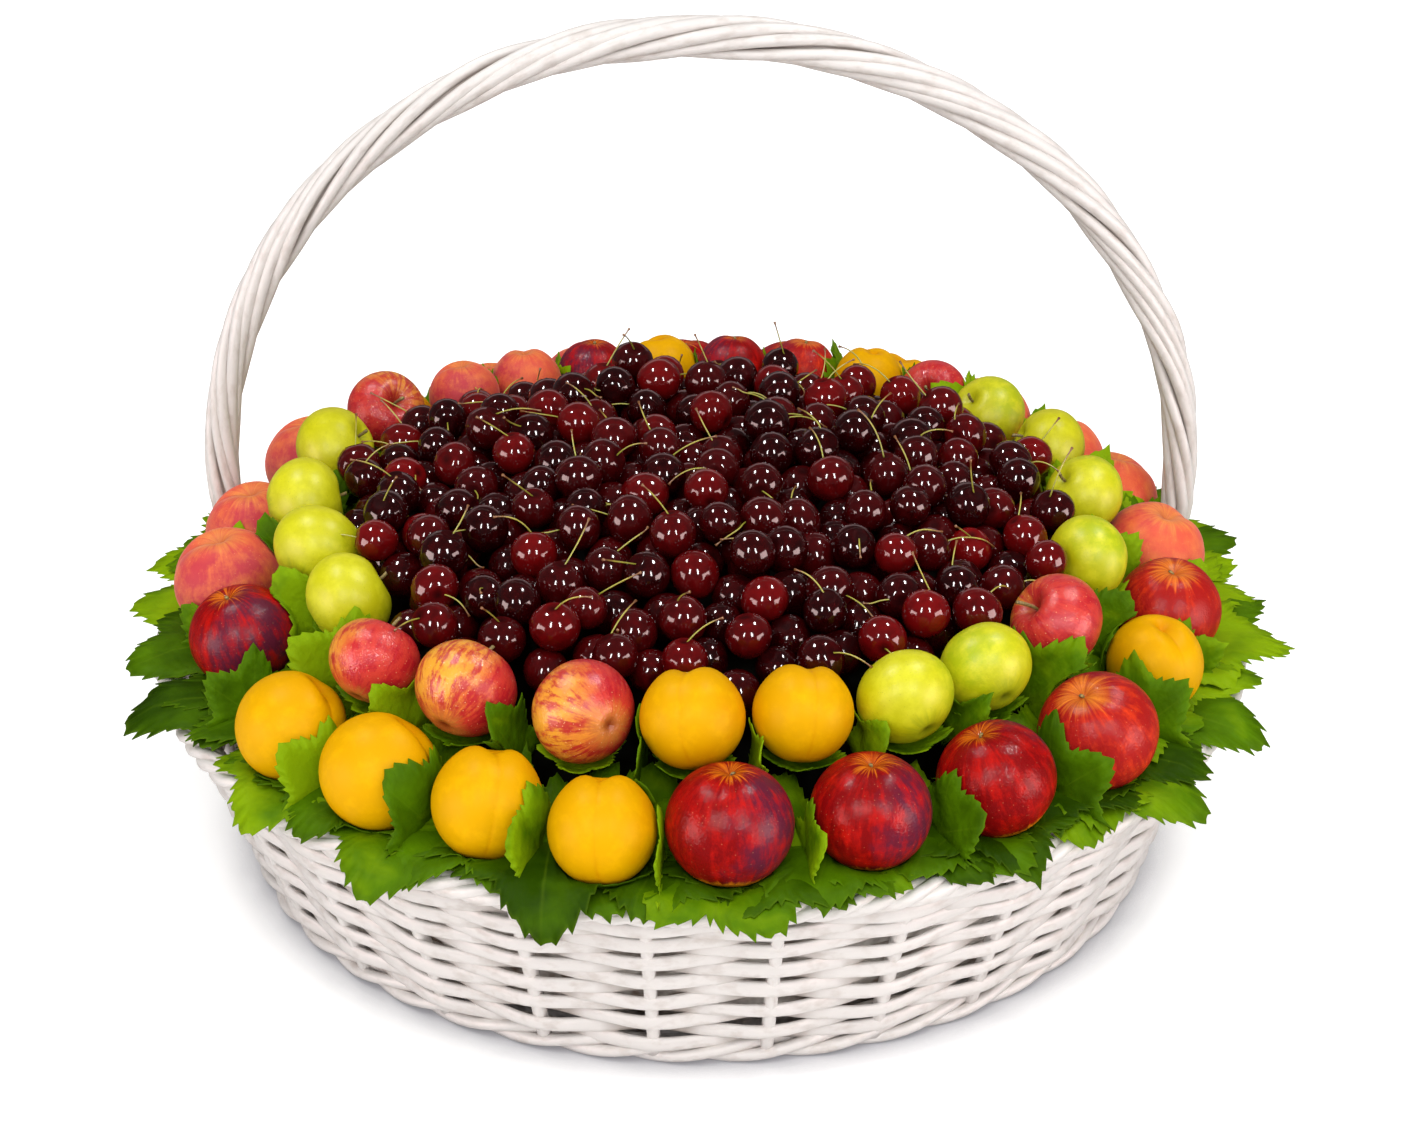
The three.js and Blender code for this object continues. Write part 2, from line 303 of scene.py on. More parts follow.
def cherry_skin(colours, name, looks):
    """Ripe cherry skin, thin and taut over dark flesh: near-black maroon that turns red where light gets
    through, with a wet gloss, and painted shade in the hollow round the stem and on the cherries low in the
    heap. A second one is made dull, for the hollow round the stem."""
    material, add, where, tone = new_material(name, "pattern", "tone")
    tones = add("SeparateXYZ", {"Vector": tone}).outputs
    mottle = add("TexNoise", {"Vector": where, "Scale": 0.16, "Detail": 3.0, "Roughness": 0.6})
    ripe = add("Math", {0: mottle, 1: 0.55, 2: tones["X"]}, operation="MULTIPLY_ADD")
    reds = [(0.25, colours.cherry_dark), (0.6, "#440406"), (1.0, colours.cherry_bright)]
    skin = add("ValToRGB", {"Fac": ripe}, reds)
    # Freckles about half a millimetre across.
    freckles = add("TexNoise", {"Vector": where, "Scale": 1.4, "Detail": 1.0})
    spots = add("MapRange", {"Value": freckles, "From Min": 0.68, "From Max": 0.76, "To Max": 0.5})
    skin = add("Mix", {0: spots, 6: skin, 7: "#701a1a"})
    # Painted shade: the hollow round the stem is painted darker, darkest in its middle.
    hollow = add("MapRange", {"Value": tones["Y"], "From Min": 0.2, "From Max": 0.9, "To Max": 0.8})
    skin = add("Mix", {0: hollow, 6: skin, 7: "#200304"})
    bump = add("Bump", {"Height": mottle, "Strength": 0.08, "Distance": 0.001})
    return finish_material(material, {"Base Color": skin, "IOR": 1.46, "Normal": bump, **looks})


def green_stem():
    """Cherry stems, fresh and thin: yellow-green, browner at their knobbed ends."""
    material, add, where = new_material("cherry_stem_fresh", "pattern")
    along = add("SeparateXYZ", {"Vector": where}).outputs["X"]
    patches = add("TexNoise", {"Vector": where, "Scale": 3.0, "Detail": 2.0})
    shift = add("Math", {0: patches, 1: 0.3, 2: along}, operation="MULTIPLY_ADD")
    greens = [(0.05, "#6d5a1e"), (0.25, "#9a9a28"), (0.8, "#b0a43a"), (1.0, "#7e4e1e")]
    skin = add("ValToRGB", {"Fac": shift}, greens)
    return finish_material(material, {"Base Color": skin, "Roughness": 0.45})


def fruit_skin(name, base, cheek, streaks, ends, specks, hollow, looks, pores, striped=0.1, far_end=1.2):
    """A fruit's skin. The cheek, streaks, ends and specks lie over the base in that order. Each is a colour,
    the values between which it fades in, and its most, but specks have a colour and their most, and a cheek
    covers fully. The shader's own numbers are in looks."""
    material, add, where, tone = new_material(name, "pattern", "tone")
    own = add("VectorMath", {0: where, 1: tone}, operation="ADD")
    parts = add("SeparateXYZ", {"Vector": where}).outputs
    # The cheek: the side that faced the sun, with a cloudy edge.
    cloud = add("TexNoise", {"Vector": own, "Scale": 1.6, "Detail": 4.0, "Roughness": 0.6})
    side = add("Math", {0: cloud, 1: 1.5, 2: parts["X"]}, operation="MULTIPLY_ADD")
    # Streaks: noise on a cylinder round the stem line, drawn long from stem to tip, and broken by blots.
    turn = add("VectorMath", {0: where, 1: (1, 1, 0)}, operation="MULTIPLY")
    turn = add("VectorMath", {0: turn}, operation="NORMALIZE")
    line = add("VectorMath", {0: where, 1: (0, 0, 0.3), 2: turn}, operation="MULTIPLY_ADD")
    line = add("VectorMath", {0: line, 1: tone}, operation="ADD")
    rays = add("TexNoise", {"Vector": line, "Scale": 7.0, "Detail": 6.0, "Roughness": 0.65})
    blots = add("TexNoise", {"Vector": own, "Scale": 2.6, "Detail": 6.0, "Roughness": 0.65})
    lines = add("Math", {0: rays, 1: striped}, operation="MULTIPLY")
    lines = add("Math", {0: blots, 1: 1 - striped, 2: lines}, operation="MULTIPLY_ADD")
    # The ends: a ragged star round the stem, and one round the tip.
    star = add("Math", {0: parts["Z"], 1: -far_end}, operation="MULTIPLY")
    star = add("Math", {0: parts["Z"], 1: star}, operation="MAXIMUM")
    star = add("Math", {0: rays, 1: 0.5, 2: star}, operation="MULTIPLY_ADD")
    # Specks, drawn near 1 mm.
    dots = add("TexVoronoi", {"Vector": own, "Scale": 11.0, "Randomness": 1.0})
    skin = base
    for amount, (shade, low, high, most) in (
        (side, (*cheek, 1)),
        (lines, streaks),
        (star, ends),
        (dots, (specks[0], 0.14, 0.05, specks[1])),
    ):
        amount = add("MapRange", {"Value": amount, "From Min": low, "From Max": high, "To Max": most})
        skin = add("Mix", {0: amount, 6: skin, 7: shade})
    # Painted shade: the groove and the stem hollow are painted darker with the hollow colour, by the amount
    # that the mesh keeps as its attribute.
    depth = add("Attribute", attribute_name="hollow").outputs["Fac"]
    skin = add("Mix", {0: depth, 6: skin, 7: hollow}, blend_type="MULTIPLY")
    grain = add("TexNoise", {"Vector": own, "Scale": 22.0, "Detail": 3.0})
    bump = add("Bump", {"Height": grain, "Strength": pores, "Distance": 0.001})
    return finish_material(material, {"Base Color": skin, "Normal": bump, "Coat Normal": bump, **looks})


def coat(weight, roughness):
    return {"Coat Weight": weight, "Coat Roughness": roughness}


def fruit_skins(colours):
    """One skin for each kind of large fruit."""
    # Nectarine skin, polished: red with a greyed purple cheek, a yellow star at the stem, bright flecks.
    polished = {
        "hollow": "#a85a40",
        "looks": {"Roughness": 0.35, "IOR": 1.42, "Specular IOR Level": 0.05, **coat(0.09, 0.03)},
        "pores": 0.3,
        "striped": 0.5,
        "far_end": 1.4,
    }
    return {
        "nectarine": fruit_skin(
            "nectarine_skin_polished",
            base=colours.nectarine,
            cheek=("#5e1c30", 0.9, 1.4),
            streaks=("#c2140a", 0.46, 0.64, 0.85),
            ends=("#ee8a18", 1.19, 1.31, 0.95),
            specks=("#f0a878", 0.22),
            **polished,
        ),
        # The same skin, ripened in the shade: lighter red over orange.
        "light_nectarine": fruit_skin(
            "nectarine_skin_light",
            base="#a01a16",
            cheek=("#7a1828", 0.9, 1.5),
            streaks=("#dc3c18", 0.48, 0.64, 0.85),
            ends=("#ee9030", 1.12, 1.32, 0.95),
            specks=("#f4b080", 0.22),
            **polished,
        ),
        # Smooth plum skin with a faint bloom: saturated yellow, a touch of orange on one cheek, satin.
        "yellow_plum": fruit_skin(
            "yellow_plum_skin_satin",
            base=colours.yellow,
            cheek=("#dc8c02", 1.3, 2.2),
            streaks=("#f0b404", 0.48, 0.7, 0.5),
            ends=("#dd9006", 1.2, 1.45, 0.5),
            specks=("#c4860a", 0.12),
            hollow="#e4b25a",
            looks={"Roughness": 0.44, "IOR": 1.42, "Specular IOR Level": 0.04},
            pores=0.05,
        ),
        # Peach skin with its short down: coral and rose over yellow, matt with a pale bloom at the edge.
        "peach": fruit_skin(
            "peach_skin_downy",
            base=colours.peach,
            cheek=("#b92a34", 0.6, 1.5),
            streaks=("#e87c34", 0.44, 0.64, 0.65),
            ends=("#eda03c", 1.1, 1.38, 0.85),
            specks=("#f4b888", 0.25),
            hollow="#8a3020",
            looks={
                "Roughness": 0.62,
                "IOR": 1.4,
                "Specular IOR Level": 0.3,
                "Sheen Weight": 0.16,
                "Sheen Roughness": 0.45,
                "Sheen Tint": (1, 0.8, 0.78),
            },
            pores=0.25,
            striped=0.3,
        ),
        # Waxy green apple skin: yellow-green with paler clouds and freckles, and a low gloss.
        "green_pippin": fruit_skin(
            "green_apple_skin_waxy",
            base=colours.green,
            cheek=("#a6b408", 1.0, 1.9),
            streaks=("#d4d020", 0.44, 0.62, 0.75),
            ends=("#95a00e", 1.22, 1.42, 0.6),
            specks=("#7f8418", 0.5),
            hollow="#7f8a14",
            looks={"Roughness": 0.4, "IOR": 1.42, "Specular IOR Level": 0.25},
            pores=0.12,
        ),
        # Striped apple skin: crimson and rose streaks broken over warm yellow, waxed.
        "red_pippin": fruit_skin(
            "red_apple_skin_striped",
            base="#e7a030",
            cheek=("#c9382e", -0.15, 0.75),
            streaks=(colours.red, 0.46, 0.55, 0.9),
            ends=("#dda040", 1.25, 1.42, 0.5),
            specks=("#f4d49a", 0.8),
            hollow="#8a3a18",
            looks={"Roughness": 0.3, "IOR": 1.42, "Specular IOR Level": 0.2, **coat(0.22, 0.05)},
            pores=0.35,
            striped=0.6,
        ),
    }


def vine_leaf(colours):
    """Fresh vine leaf, picked whole: soft cloudy green with faint pale veins down its lobes and a thin pale
    edge, puckered and nearly matt."""
    material, add, where, tone = new_material("vine_leaf_fresh", "pattern", "tone")
    tones = add("SeparateXYZ", {"Vector": tone}).outputs
    veins = add("SeparateXYZ", {"Vector": where}).outputs["Z"]
    # The flat place on the leaf, and a shift that differs from leaf to leaf.
    shift = add("VectorMath", {0: tone, 1: (23, 0, 0)}, operation="MULTIPLY")
    flat = add("VectorMath", {0: where, 1: (1, 1, 0), 2: shift}, operation="MULTIPLY_ADD")
    cloud = add("TexNoise", {"Vector": flat, "Scale": 2.2, "Detail": 3.0})
    level = add("Math", {0: cloud, 1: 0.95, 2: tones["X"]}, operation="MULTIPLY_ADD")
    greens = [(0.25, colours.leaf_shade), (0.7, colours.leaf), (1.0, "#7c9c06")]
    blade = add("ValToRGB", {"Fac": level}, greens)
    for amount, low, most in ((veins, 0.4, 0.22), (tones["Y"], 0.96, 0.12)):
        amount = add("MapRange", {"Value": amount, "From Min": low, "From Max": 1.0, "To Max": most})
        blade = add("Mix", {0: amount, 6: blade, 7: colours.leaf_edge})
    # The blade puckers between its veins, every 6 mm or so.
    pucker = add("TexNoise", {"Vector": flat, "Scale": 9.0, "Detail": 2.0})
    bump = add("Bump", {"Height": pucker, "Strength": 0.5, "Distance": 0.0016})
    looks = {"Roughness": 0.55, "IOR": 1.4, "Specular IOR Level": 0.03}
    return finish_material(material, {"Base Color": blade, "Normal": bump, **looks})


def stalk_bark():
    """Stub of a fruit's stalk: dry brown bark, cloudy, with clouds of about 1 mm."""
    material, add = new_material("fruit_stalk_dry")
    where = add("TexCoord").outputs["Object"]
    cloud = add("TexNoise", {"Vector": where, "Scale": 900.0, "Detail": 3.0})
    skin = add("ValToRGB", {"Fac": cloud}, [(0.3, "#4a3216"), (0.7, "#a08a3c")])
    return finish_material(material, {"Base Color": skin, "Roughness": 0.7})


def shaded_filling(name, dark, light):
    """Painted shade for what lies in shadow under the fruit and behind the weave: cloudy, uneven and matt,
    and painted dark because hardly any light gets there."""
    material, add = new_material(name)
    where = add("TexCoord").outputs["Object"]
    cloud = add("TexNoise", {"Vector": where, "Scale": 60.0, "Detail": 3.0})
    skin = add("ValToRGB", {"Fac": cloud}, [(0.35, dark), (0.6, light)])
    bump = add("Bump", {"Height": cloud, "Strength": 0.8, "Distance": 0.003})
    looks = {"Roughness": 0.9, "Specular IOR Level": 0.03}
    return finish_material(material, {"Base Color": skin, "Normal": bump, **looks})


# ---- The large fruit, read from the CAD frame ----

# Of each kind of fruit: its height over its width, as in the CAD solids, the depth of its groove and the
# swell beside it over its radius, where its stalk starts over half its height, and the stalk's length.
Kind = namedtuple("Kind", "height groove swell stalk_from stalk")
KINDS = {
    "nectarine": Kind(0.96, 0.02, 0.01, 0.78, 4.0),
    "peach": Kind(0.94, 0.05, 0.016, 0, 0),
    "yellow_plum": Kind(0.98, 0.06, 0.018, 0, 0),
    "green_pippin": Kind(0.88, 0, 0, 0.74, 8.0),
    "red_pippin": Kind(0.9, 0, 0, 0.56, 14.0),
}
# Width and depth of the hollow round an apple's stalk.
APPLE_HOLLOW = {"green_pippin": (0.26, 0.5), "red_pippin": (0.34, 1)}


class Fruit:
    """One large fruit: where its CAD solid is, and what kind its name says."""

    def __init__(self, name):
        low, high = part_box(name)
        low, high = low / MM, high / MM
        self.name = name
        self.ring, kind = name.split("_", 1)
        self.kind = kind.rsplit("_", 1)[0]
        self.centre = (low + high) / 2
        self.tall = (high.z - low.z) / 2
        self.wide = self.tall / KINDS[self.kind].height
        self.azimuth = math.atan2(self.centre.x, -self.centre.y)
        self.distance = math.hypot(self.centre.x, self.centre.y)

    def push_out(self, point, gap):
        """Moves a point that lies inside the fruit out to its skin and a gap beyond."""
        offset = point - self.centre
        scaled = Vector((offset.x / self.wide, offset.y / self.wide, offset.z / self.tall))
        reach = 1 + gap / self.wide
        if scaled.length >= reach or scaled.length < 1e-6:
            return point
        return self.centre + offset * (reach / scaled.length)


LARGE_FRUIT = [Fruit(name) for name in sorted(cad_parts) if name.startswith(("outer_", "inner_"))]


def ring_of(which):
    return sorted((f for f in LARGE_FRUIT if f.ring == which), key=lambda f: f.azimuth)


# How each fruit lies: the azimuth its stem leans to, how far it leans, and the azimuth its groove
# or cheek faces, in degrees. Fruit not named here stands nearly upright.
LIE = {
    "inner_yellow_plum_1": (183, 38, -14),
    "inner_yellow_plum_2": (176, 38, 14),
    "outer_yellow_plum_4": (178, 36, -6),
    "outer_yellow_plum_3": (170, 36, 12),
    "outer_yellow_plum_2": (120, 40, 60),
    "outer_yellow_plum_1": (120, 40, 40),
    "outer_nectarine_1": (180, 8, -14),
    "outer_nectarine_2": (180, 2, -8),
    "outer_nectarine_3": (-100, 22, 60),
    "outer_nectarine_4": (-60, 25, 70),
    "inner_green_pippin_3": (-60, 80, 0),
    "inner_green_pippin_7": (80, 58, 0),
    "inner_green_pippin_8": (100, 85, 0),
    "inner_green_pippin_9": (150, 60, 0),
    "inner_green_pippin_10": (110, 66, 0),
    "inner_red_pippin_4": (-75, 52, -60),
    "inner_red_pippin_3": (-143, 97, 45),
    "inner_red_pippin_2": (150, 60, 40),
    "inner_red_pippin_1": (150, 50, -20),
}

# The nectarines that ripened in the shade, and are lighter.
SHADED_FRUIT = ("outer_nectarine_4", "outer_nectarine_5", "inner_nectarine_1")


def fruit_form(kind, polar, turn):
    """How far the skin is from the fruit's middle, as a share of its radius, and how much painted shade the
    point gets, from 0 to 1: most in the groove and in the hollow round the stem, and some at the tip. polar
    is the angle from the stem, and turn the angle round it from the groove."""
    tip = math.pi - polar
    if kind in APPLE_HOLLOW:
        width, depth = APPLE_HOLLOW[kind]
        cup, eye = depth * bell(polar, width), bell(tip, 0.15)
        ribs = 0.012 * math.cos(5 * turn) * math.sin(polar) * abs(math.cos(polar))
        return 1 - 0.42 * cup - 0.1 * eye + ribs + 0.02 * math.sin(2 * polar), 0.7 * cup**1.5 + 0.9 * eye
    # The groove lies in the plane of the stem: over the front and just past the stem.
    aside = math.sin(polar) * math.sin(turn) + 0.012 * math.sin(4 * polar)
    above_tip = 1 - smooth(2.5, 3.1, polar)
    front = smooth(-0.35, 0.05, math.sin(polar) * math.cos(turn)) * above_tip
    groove = bell(aside, 0.035) * front * smooth(0.0, 0.45, polar) * above_tip
    valley = bell(aside, 0.2) * front * (0.4 + 2.3 * smooth(1.0, 0.15, polar))
    shoulder = bell(abs(aside) - 0.42, 0.26) * front * (0.4 + smooth(1.6, 0.4, polar))
    cup = 0.45 * bell(polar, 0.3) + 0.55 * bell(polar, 0.13)
    point = bell(tip, 0.16)
    depth, swell = KINDS[kind].groove, KINDS[kind].swell
    form = 1 - 0.12 * cup - depth * (0.16 * groove + 0.75 * valley) + swell * shoulder - 0.03 * point
    # Painted shade in the groove, strongest along its middle.
    groove_shade = 5 * depth * groove * (0.6 + 0.4 * math.cos(2 * polar))
    return form, min(1, 0.6 * cup + groove_shade + 0.3 * point)


class FRUIT_OT_large(bpy.types.Operator):
    """Grow the yellow plums, nectarines, peaches and apples of the two rings"""

    bl_idname = "fruit.large"
    bl_label = "Grow the large fruit"

    def execute(self, context):
        skins, bark = fruit_skins(context.scene.fruit_colours), stalk_bark()
        ball = bmesh.new()
        bmesh.ops.create_uvsphere(ball, u_segments=64, v_segments=36, radius=1)
        ball, twig = as_shape(ball), rod_shape(6, 4, 1.3)
        for number, fruit in enumerate(LARGE_FRUIT):
            chance = random.Random(number * 7 + 3)
            kind, at = KINDS[fruit.kind], math.degrees(fruit.azimuth)
            lie = (at + chance.uniform(-60, 60), chance.uniform(4, 18), at + chance.uniform(-50, 50))
            if fruit.kind in APPLE_HOLLOW:
                # Apples lie with their stems turned in to the cherries.
                lie = (at + 180 + chance.uniform(-30, 30), chance.uniform(45, 75), chance.uniform(0, 360))
            lean_to, lean, facing = (math.radians(angle) for angle in LIE.get(fruit.name, lie))
            turned = Matrix.Rotation(facing, 3, "Z")
            leaned = Matrix.Rotation(lean, 3, Vector((math.cos(lean_to), math.sin(lean_to), 0)))
            # A shift of the patterns, which gives each fruit its own.
            tone = (chance.uniform(0, 60), chance.uniform(0, 60), chance.uniform(0, 60))
            slim = 0.95 if fruit.kind == "yellow_plum" and fruit.ring == "outer" else 1
            bm = start()
            hollow = bm.verts.layers.float.new("hollow")
            depths = []

            def place(co):
                polar = math.acos(min(max(co.z, -1), 1))
                # The groove faces local -Y. Points crowd round it so that its edge stays crisp.
                even = math.atan2(co.x, -co.y)
                turn = even - 0.6 * math.sin(even)
                form, depth = fruit_form(fruit.kind, polar, turn)
                depths.append(depth)
                on_ball = ring_point(turn, math.sin(polar), math.cos(polar))
                shaped = Vector((on_ball.x * slim, on_ball.y, on_ball.z * kind.height)) * form
                return leaned @ (turned @ shaped) * fruit.wide, on_ball, tone

            add_shape(bm, ball, place)
            # Each point keeps how much painted shade it gets in the groove and hollows.
            for vert, depth in zip(bm.verts, depths):
                vert[hollow] = depth
            # The hollows take height off one end, so the skin is centred on its CAD solid again.
            low, high = (Vector(edge(v.co[i] for v in bm.verts) for i in range(3)) for edge in (min, max))
            bmesh.ops.translate(bm, vec=fruit.centre - (low + high) / 2, verts=bm.verts)
            if kind.stalk:
                skin_faces = len(bm.faces)
                top, side = leaned @ UP, leaned @ Vector((1, 0, 0))
                other = top.cross(side)
                root = fruit.centre + top * fruit.tall * kind.stalk_from
                bend = chance.uniform(-4, 4)

                def on_stalk(co):
                    middle = root + top * (kind.stalk * co.z) + side * (bend * co.z**2)
                    return middle + (side * co.x + other * co.y) * 0.85, co, tone

                add_shape(bm, twig, on_stalk)
                bm.faces.ensure_lookup_table()
                for face in bm.faces[skin_faces:]:
                    face.material_index = 1
            skin = skins["light_nectarine" if fruit.name in SHADED_FRUIT else fruit.kind]
            finish_piece(bm, f"{fruit.name}_fruit", [skin, bark], [fruit.name])
        return {"FINISHED"}


# ---- The basket ----

STAKES = 28
FIRST_STAKE = math.radians(-5.3)
# Height of the first woven row, how many rows keep the full pitch, and where the last row lies.
FIRST_ROW, LOOSE_ROWS, LAST_ROW = 15.2, 10, 106
# Height where a stake starts, its length, half its width, and how far it stands out and in.
STAKE_FOOT, STAKE_LENGTH, STAKE_HALF, STAKE_OUT, STAKE_IN = 4, 116, 3.6, 4.9, 3
# Tone of a rod with no painted shade.
NO_PAINTED_SHADE = (0, 0, 0)


def willow_pattern(azimuth, third):
    """Pattern values of a rod that runs round the basket. They go round in a circle, so there is no seam."""
    return (math.cos(azimuth) * 42, math.sin(azimuth) * 42, third)


def around_rod(across, up):
    """Pattern value of a point by its place in a rod's section."""
    return math.atan2(up, across) * 1.2


def finish_willow(bm, name, node):
    """Makes what was woven a piece of painted willow that stands for its CAD node."""
    finish_piece(bm, name, [bpy.data.materials[WILLOW]], [node])


def wall_radius(height):
    """Outer radius of the wall at a height, as in the CAD solid."""
    return 267 + 0.314 * height + 0.00032 * height * height


def row_dip(azimuth):
    """How the rows rise and fall round a basket woven by hand."""
    return 1.3 * math.sin(5 * azimuth + 0.6) + math.sin(8 * azimuth + 2.1) + 0.5 * math.sin(17 * azimuth)


class BASKET_OT_paint(bpy.types.Operator):
    """Mix the white paint for the willow rods"""

    bl_idname = "basket.paint"
    bl_label = "Mix the paint"

    def execute(self, context):
        painted_willow(context.scene.basket_colours)
        return {"FINISHED"}


class BASKET_OT_wall(bpy.types.Operator):
    """Set the stakes and weave the rods of the wall round them"""

    bl_idname = "basket.wall"
    bl_label = "Weave the wall"

    def execute(self, context):
        sizes = context.scene.basket_sizes
        rod, pitch, wave = sizes.rod / MM, sizes.row / MM, sizes.wave / MM
        bm = start()
        ring = ring_shape(10, STAKES * 8)
        # Half the thickness of a rod, which is split and laid flat.
        flat = rod * 0.25
        chance = random.Random(11)
        # The rows are beaten down closer near the border.
        heights = [FIRST_ROW + row * pitch for row in range(LOOSE_ROWS)]
        while heights[-1] < LAST_ROW:
            heights.append(heights[-1] + 0.8 * pitch)
        for row, height in enumerate(heights):
            middle = wall_radius(height) - wave - flat
            phase = chance.uniform(0, TAU)
            thick = chance.uniform(0.93, 1.07)
            sway = chance.uniform(0.3, 0.9)
            parity = math.pi * (row % 2)

            def place(co):
                azimuth, out, up = unroll(co)
                # The rods are pressed flat: their faces stand straighter than a circle's.
                out = signed_power(out, 0.75)
                # A rod bends sharply at a stake and runs nearly straight to the next.
                swing = signed_power(math.cos(STAKES / 2 * (azimuth - FIRST_STAKE) + parity), 1.5)
                # Painted shade, a little uneven, in the bends that pass behind the stakes.
                painted_shade = smooth(0, 0.6, -swing) * (0.75 + 0.25 * math.sin(5 * azimuth + 3 * phase))
                uneven = 0.06 * math.sin(9 * azimuth + phase) + 0.04 * math.sin(23 * azimuth + 2 * phase)
                local = thick * (1 + uneven)
                # In front of a stake the rod is pressed flat and tall, and behind it the rod is pinched.
                half = rod / 2 * local * (1.05 + 0.04 * max(0, swing) - 0.15 * max(0, -swing))
                deep = wave * (1 + 0.12 * math.sin(4 * azimuth + phase))
                radius = middle + deep * swing + out * flat * local
                level = height + up * half + row_dip(azimuth) * smooth(10, 40, height)
                level += sway * math.sin(6 * azimuth + 2 * phase) + 0.5 * math.sin(13 * azimuth + phase)
                pattern = willow_pattern(azimuth, row * 7.3 + around_rod(out, up))
                return ring_point(azimuth, radius, level), pattern, (painted_shade, 0, 0)

            add_shape(bm, ring, place)
        stake = rod_shape(8, 10)
        for number in range(STAKES):
            azimuth = TAU * number / STAKES + FIRST_STAKE

            def upright(co):
                height = STAKE_FOOT + STAKE_LENGTH * co.z
                middle = wall_radius(height) - wave - flat
                # A stake is boxy and shows a little between the rods.
                angle = azimuth + signed_power(co.x, 0.6) * STAKE_HALF / middle
                radius = middle - signed_power(co.y, 0.6) * (STAKE_OUT if co.y < 0 else STAKE_IN)
                return ring_point(angle, radius, height), (co.z * 20, number, around_rod(co.x, co.y)), NO_PAINTED_SHADE

            add_shape(bm, stake, upright)
        finish_willow(bm, "woven_wall", "wicker_wall")
        return {"FINISHED"}


def twisted_ring(bm, radius, height, swing_out, swing_up, half, rods, turns, steps):
    """Adds rods that wind round each other on a level ring, and are pressed flat on the floor."""
    ring = ring_shape(8, steps)
    for number in range(rods):
        phase = TAU * number / rods

        def place(co):
            azimuth, out, up = unroll(co)
            angle = turns * azimuth + phase
            across = radius + swing_out * math.cos(angle) + out * half
            level = height + swing_up * math.sin(angle) + up * half
            pattern = willow_pattern(azimuth, number * 9.1 + around_rod(out, up))
            return ring_point(azimuth, across, max(level, 0)), pattern, NO_PAINTED_SHADE

        add_shape(bm, ring, place)


class BASKET_OT_edges(bpy.types.Operator):
    """Roll the border on the wall, twist the foot under it and weave the base"""

    bl_idname = "basket.edges"
    bl_label = "Weave the border, foot and base"

    def execute(self, context):
        # Each ring's radius, height, swing out and up, half a rod's thickness, rods, turns and steps.
        for name, node, ring in (
            ("rolled_border", "wicker_rim", (309, 123.2, 4.2, 3.4, 3.7, 4, STAKES, STAKES * 10)),
            ("twisted_foot", "wicker_foot", (262.3, 7.4, 4.5, 3.8, 3.4, 3, STAKES / 2, STAKES * 8)),
        ):
            bm = start()
            twisted_ring(bm, *ring)
            finish_willow(bm, name, node)
        bm = start()
        ring = ring_shape(6, STAKES * 4)
        # Middle height of the base's weave, and its rows from the middle outwards.
        level, rows, first, pitch = 2.5, 33, 14, 7.2
        for row in range(rows):
            radius = first + row * pitch
            parity = math.pi * (row % 2)

            def place(co):
                azimuth, out, up = unroll(co)
                height = level + 0.9 * math.cos(STAKES / 2 * azimuth + parity) + up * 1.4
                pattern = willow_pattern(azimuth, row * 5.1 + out)
                return ring_point(azimuth, radius + out * 3.4, height), pattern, NO_PAINTED_SHADE

            add_shape(bm, ring, place)
        stick = rod_shape(6, 6)
        for number in range(STAKES):
            azimuth = TAU * number / STAKES

            def spoke(co):
                middle = ring_point(azimuth, 8 + 242 * co.z, level + co.y * 1.3)
                aside = ring_point(azimuth + math.pi / 2, co.x * 2.4, 0)
                return middle + aside, (co.z * 30, number, co.x), NO_PAINTED_SHADE

            add_shape(bm, stick, spoke)
        finish_willow(bm, "woven_base", "wicker_base")
        return {"FINISHED"}


# The handle: its legs below the rim and its straight parts above it, the length of its arc, half its span,
# the height where a leg ends, the rise of its arc, and how far it stands behind the basket's middle.
LEG, STRAIGHT, ARC, SPAN, LEG_TOP, RISE, BEHIND = 76, 22, 877, 288, 160, 270, 78


def handle_point(share):
    """A point of the handle's middle line, its outward direction, and the line's length. The share runs from
    0 at the left foot to 1 at the right foot."""
    total = 2 * (LEG + STRAIGHT) + ARC
    run = share * total
    end = min(run, total - run)
    side = -1 if run < total / 2 else 1
    if end < LEG:
        x, z = side * (SPAN - 0.46 * (LEG - end)), LEG_TOP - (LEG - end)
        out = Vector((side, 0, -0.3)).normalized()
    elif end < LEG + STRAIGHT:
        x, z = side * SPAN, LEG_TOP + end - LEG
        out = Vector((side, 0, 0))
    else:
        t = math.pi * (run - LEG - STRAIGHT) / ARC
        x, z = -SPAN * math.cos(t), LEG_TOP + STRAIGHT + RISE * math.sin(t)
        out = Vector((-math.cos(t) / SPAN, 0, math.sin(t) / RISE)).normalized()
    # It leans a little, so the left side stands farther back.
    return Vector((x, BEHIND - 0.014 * x, z)), out, total


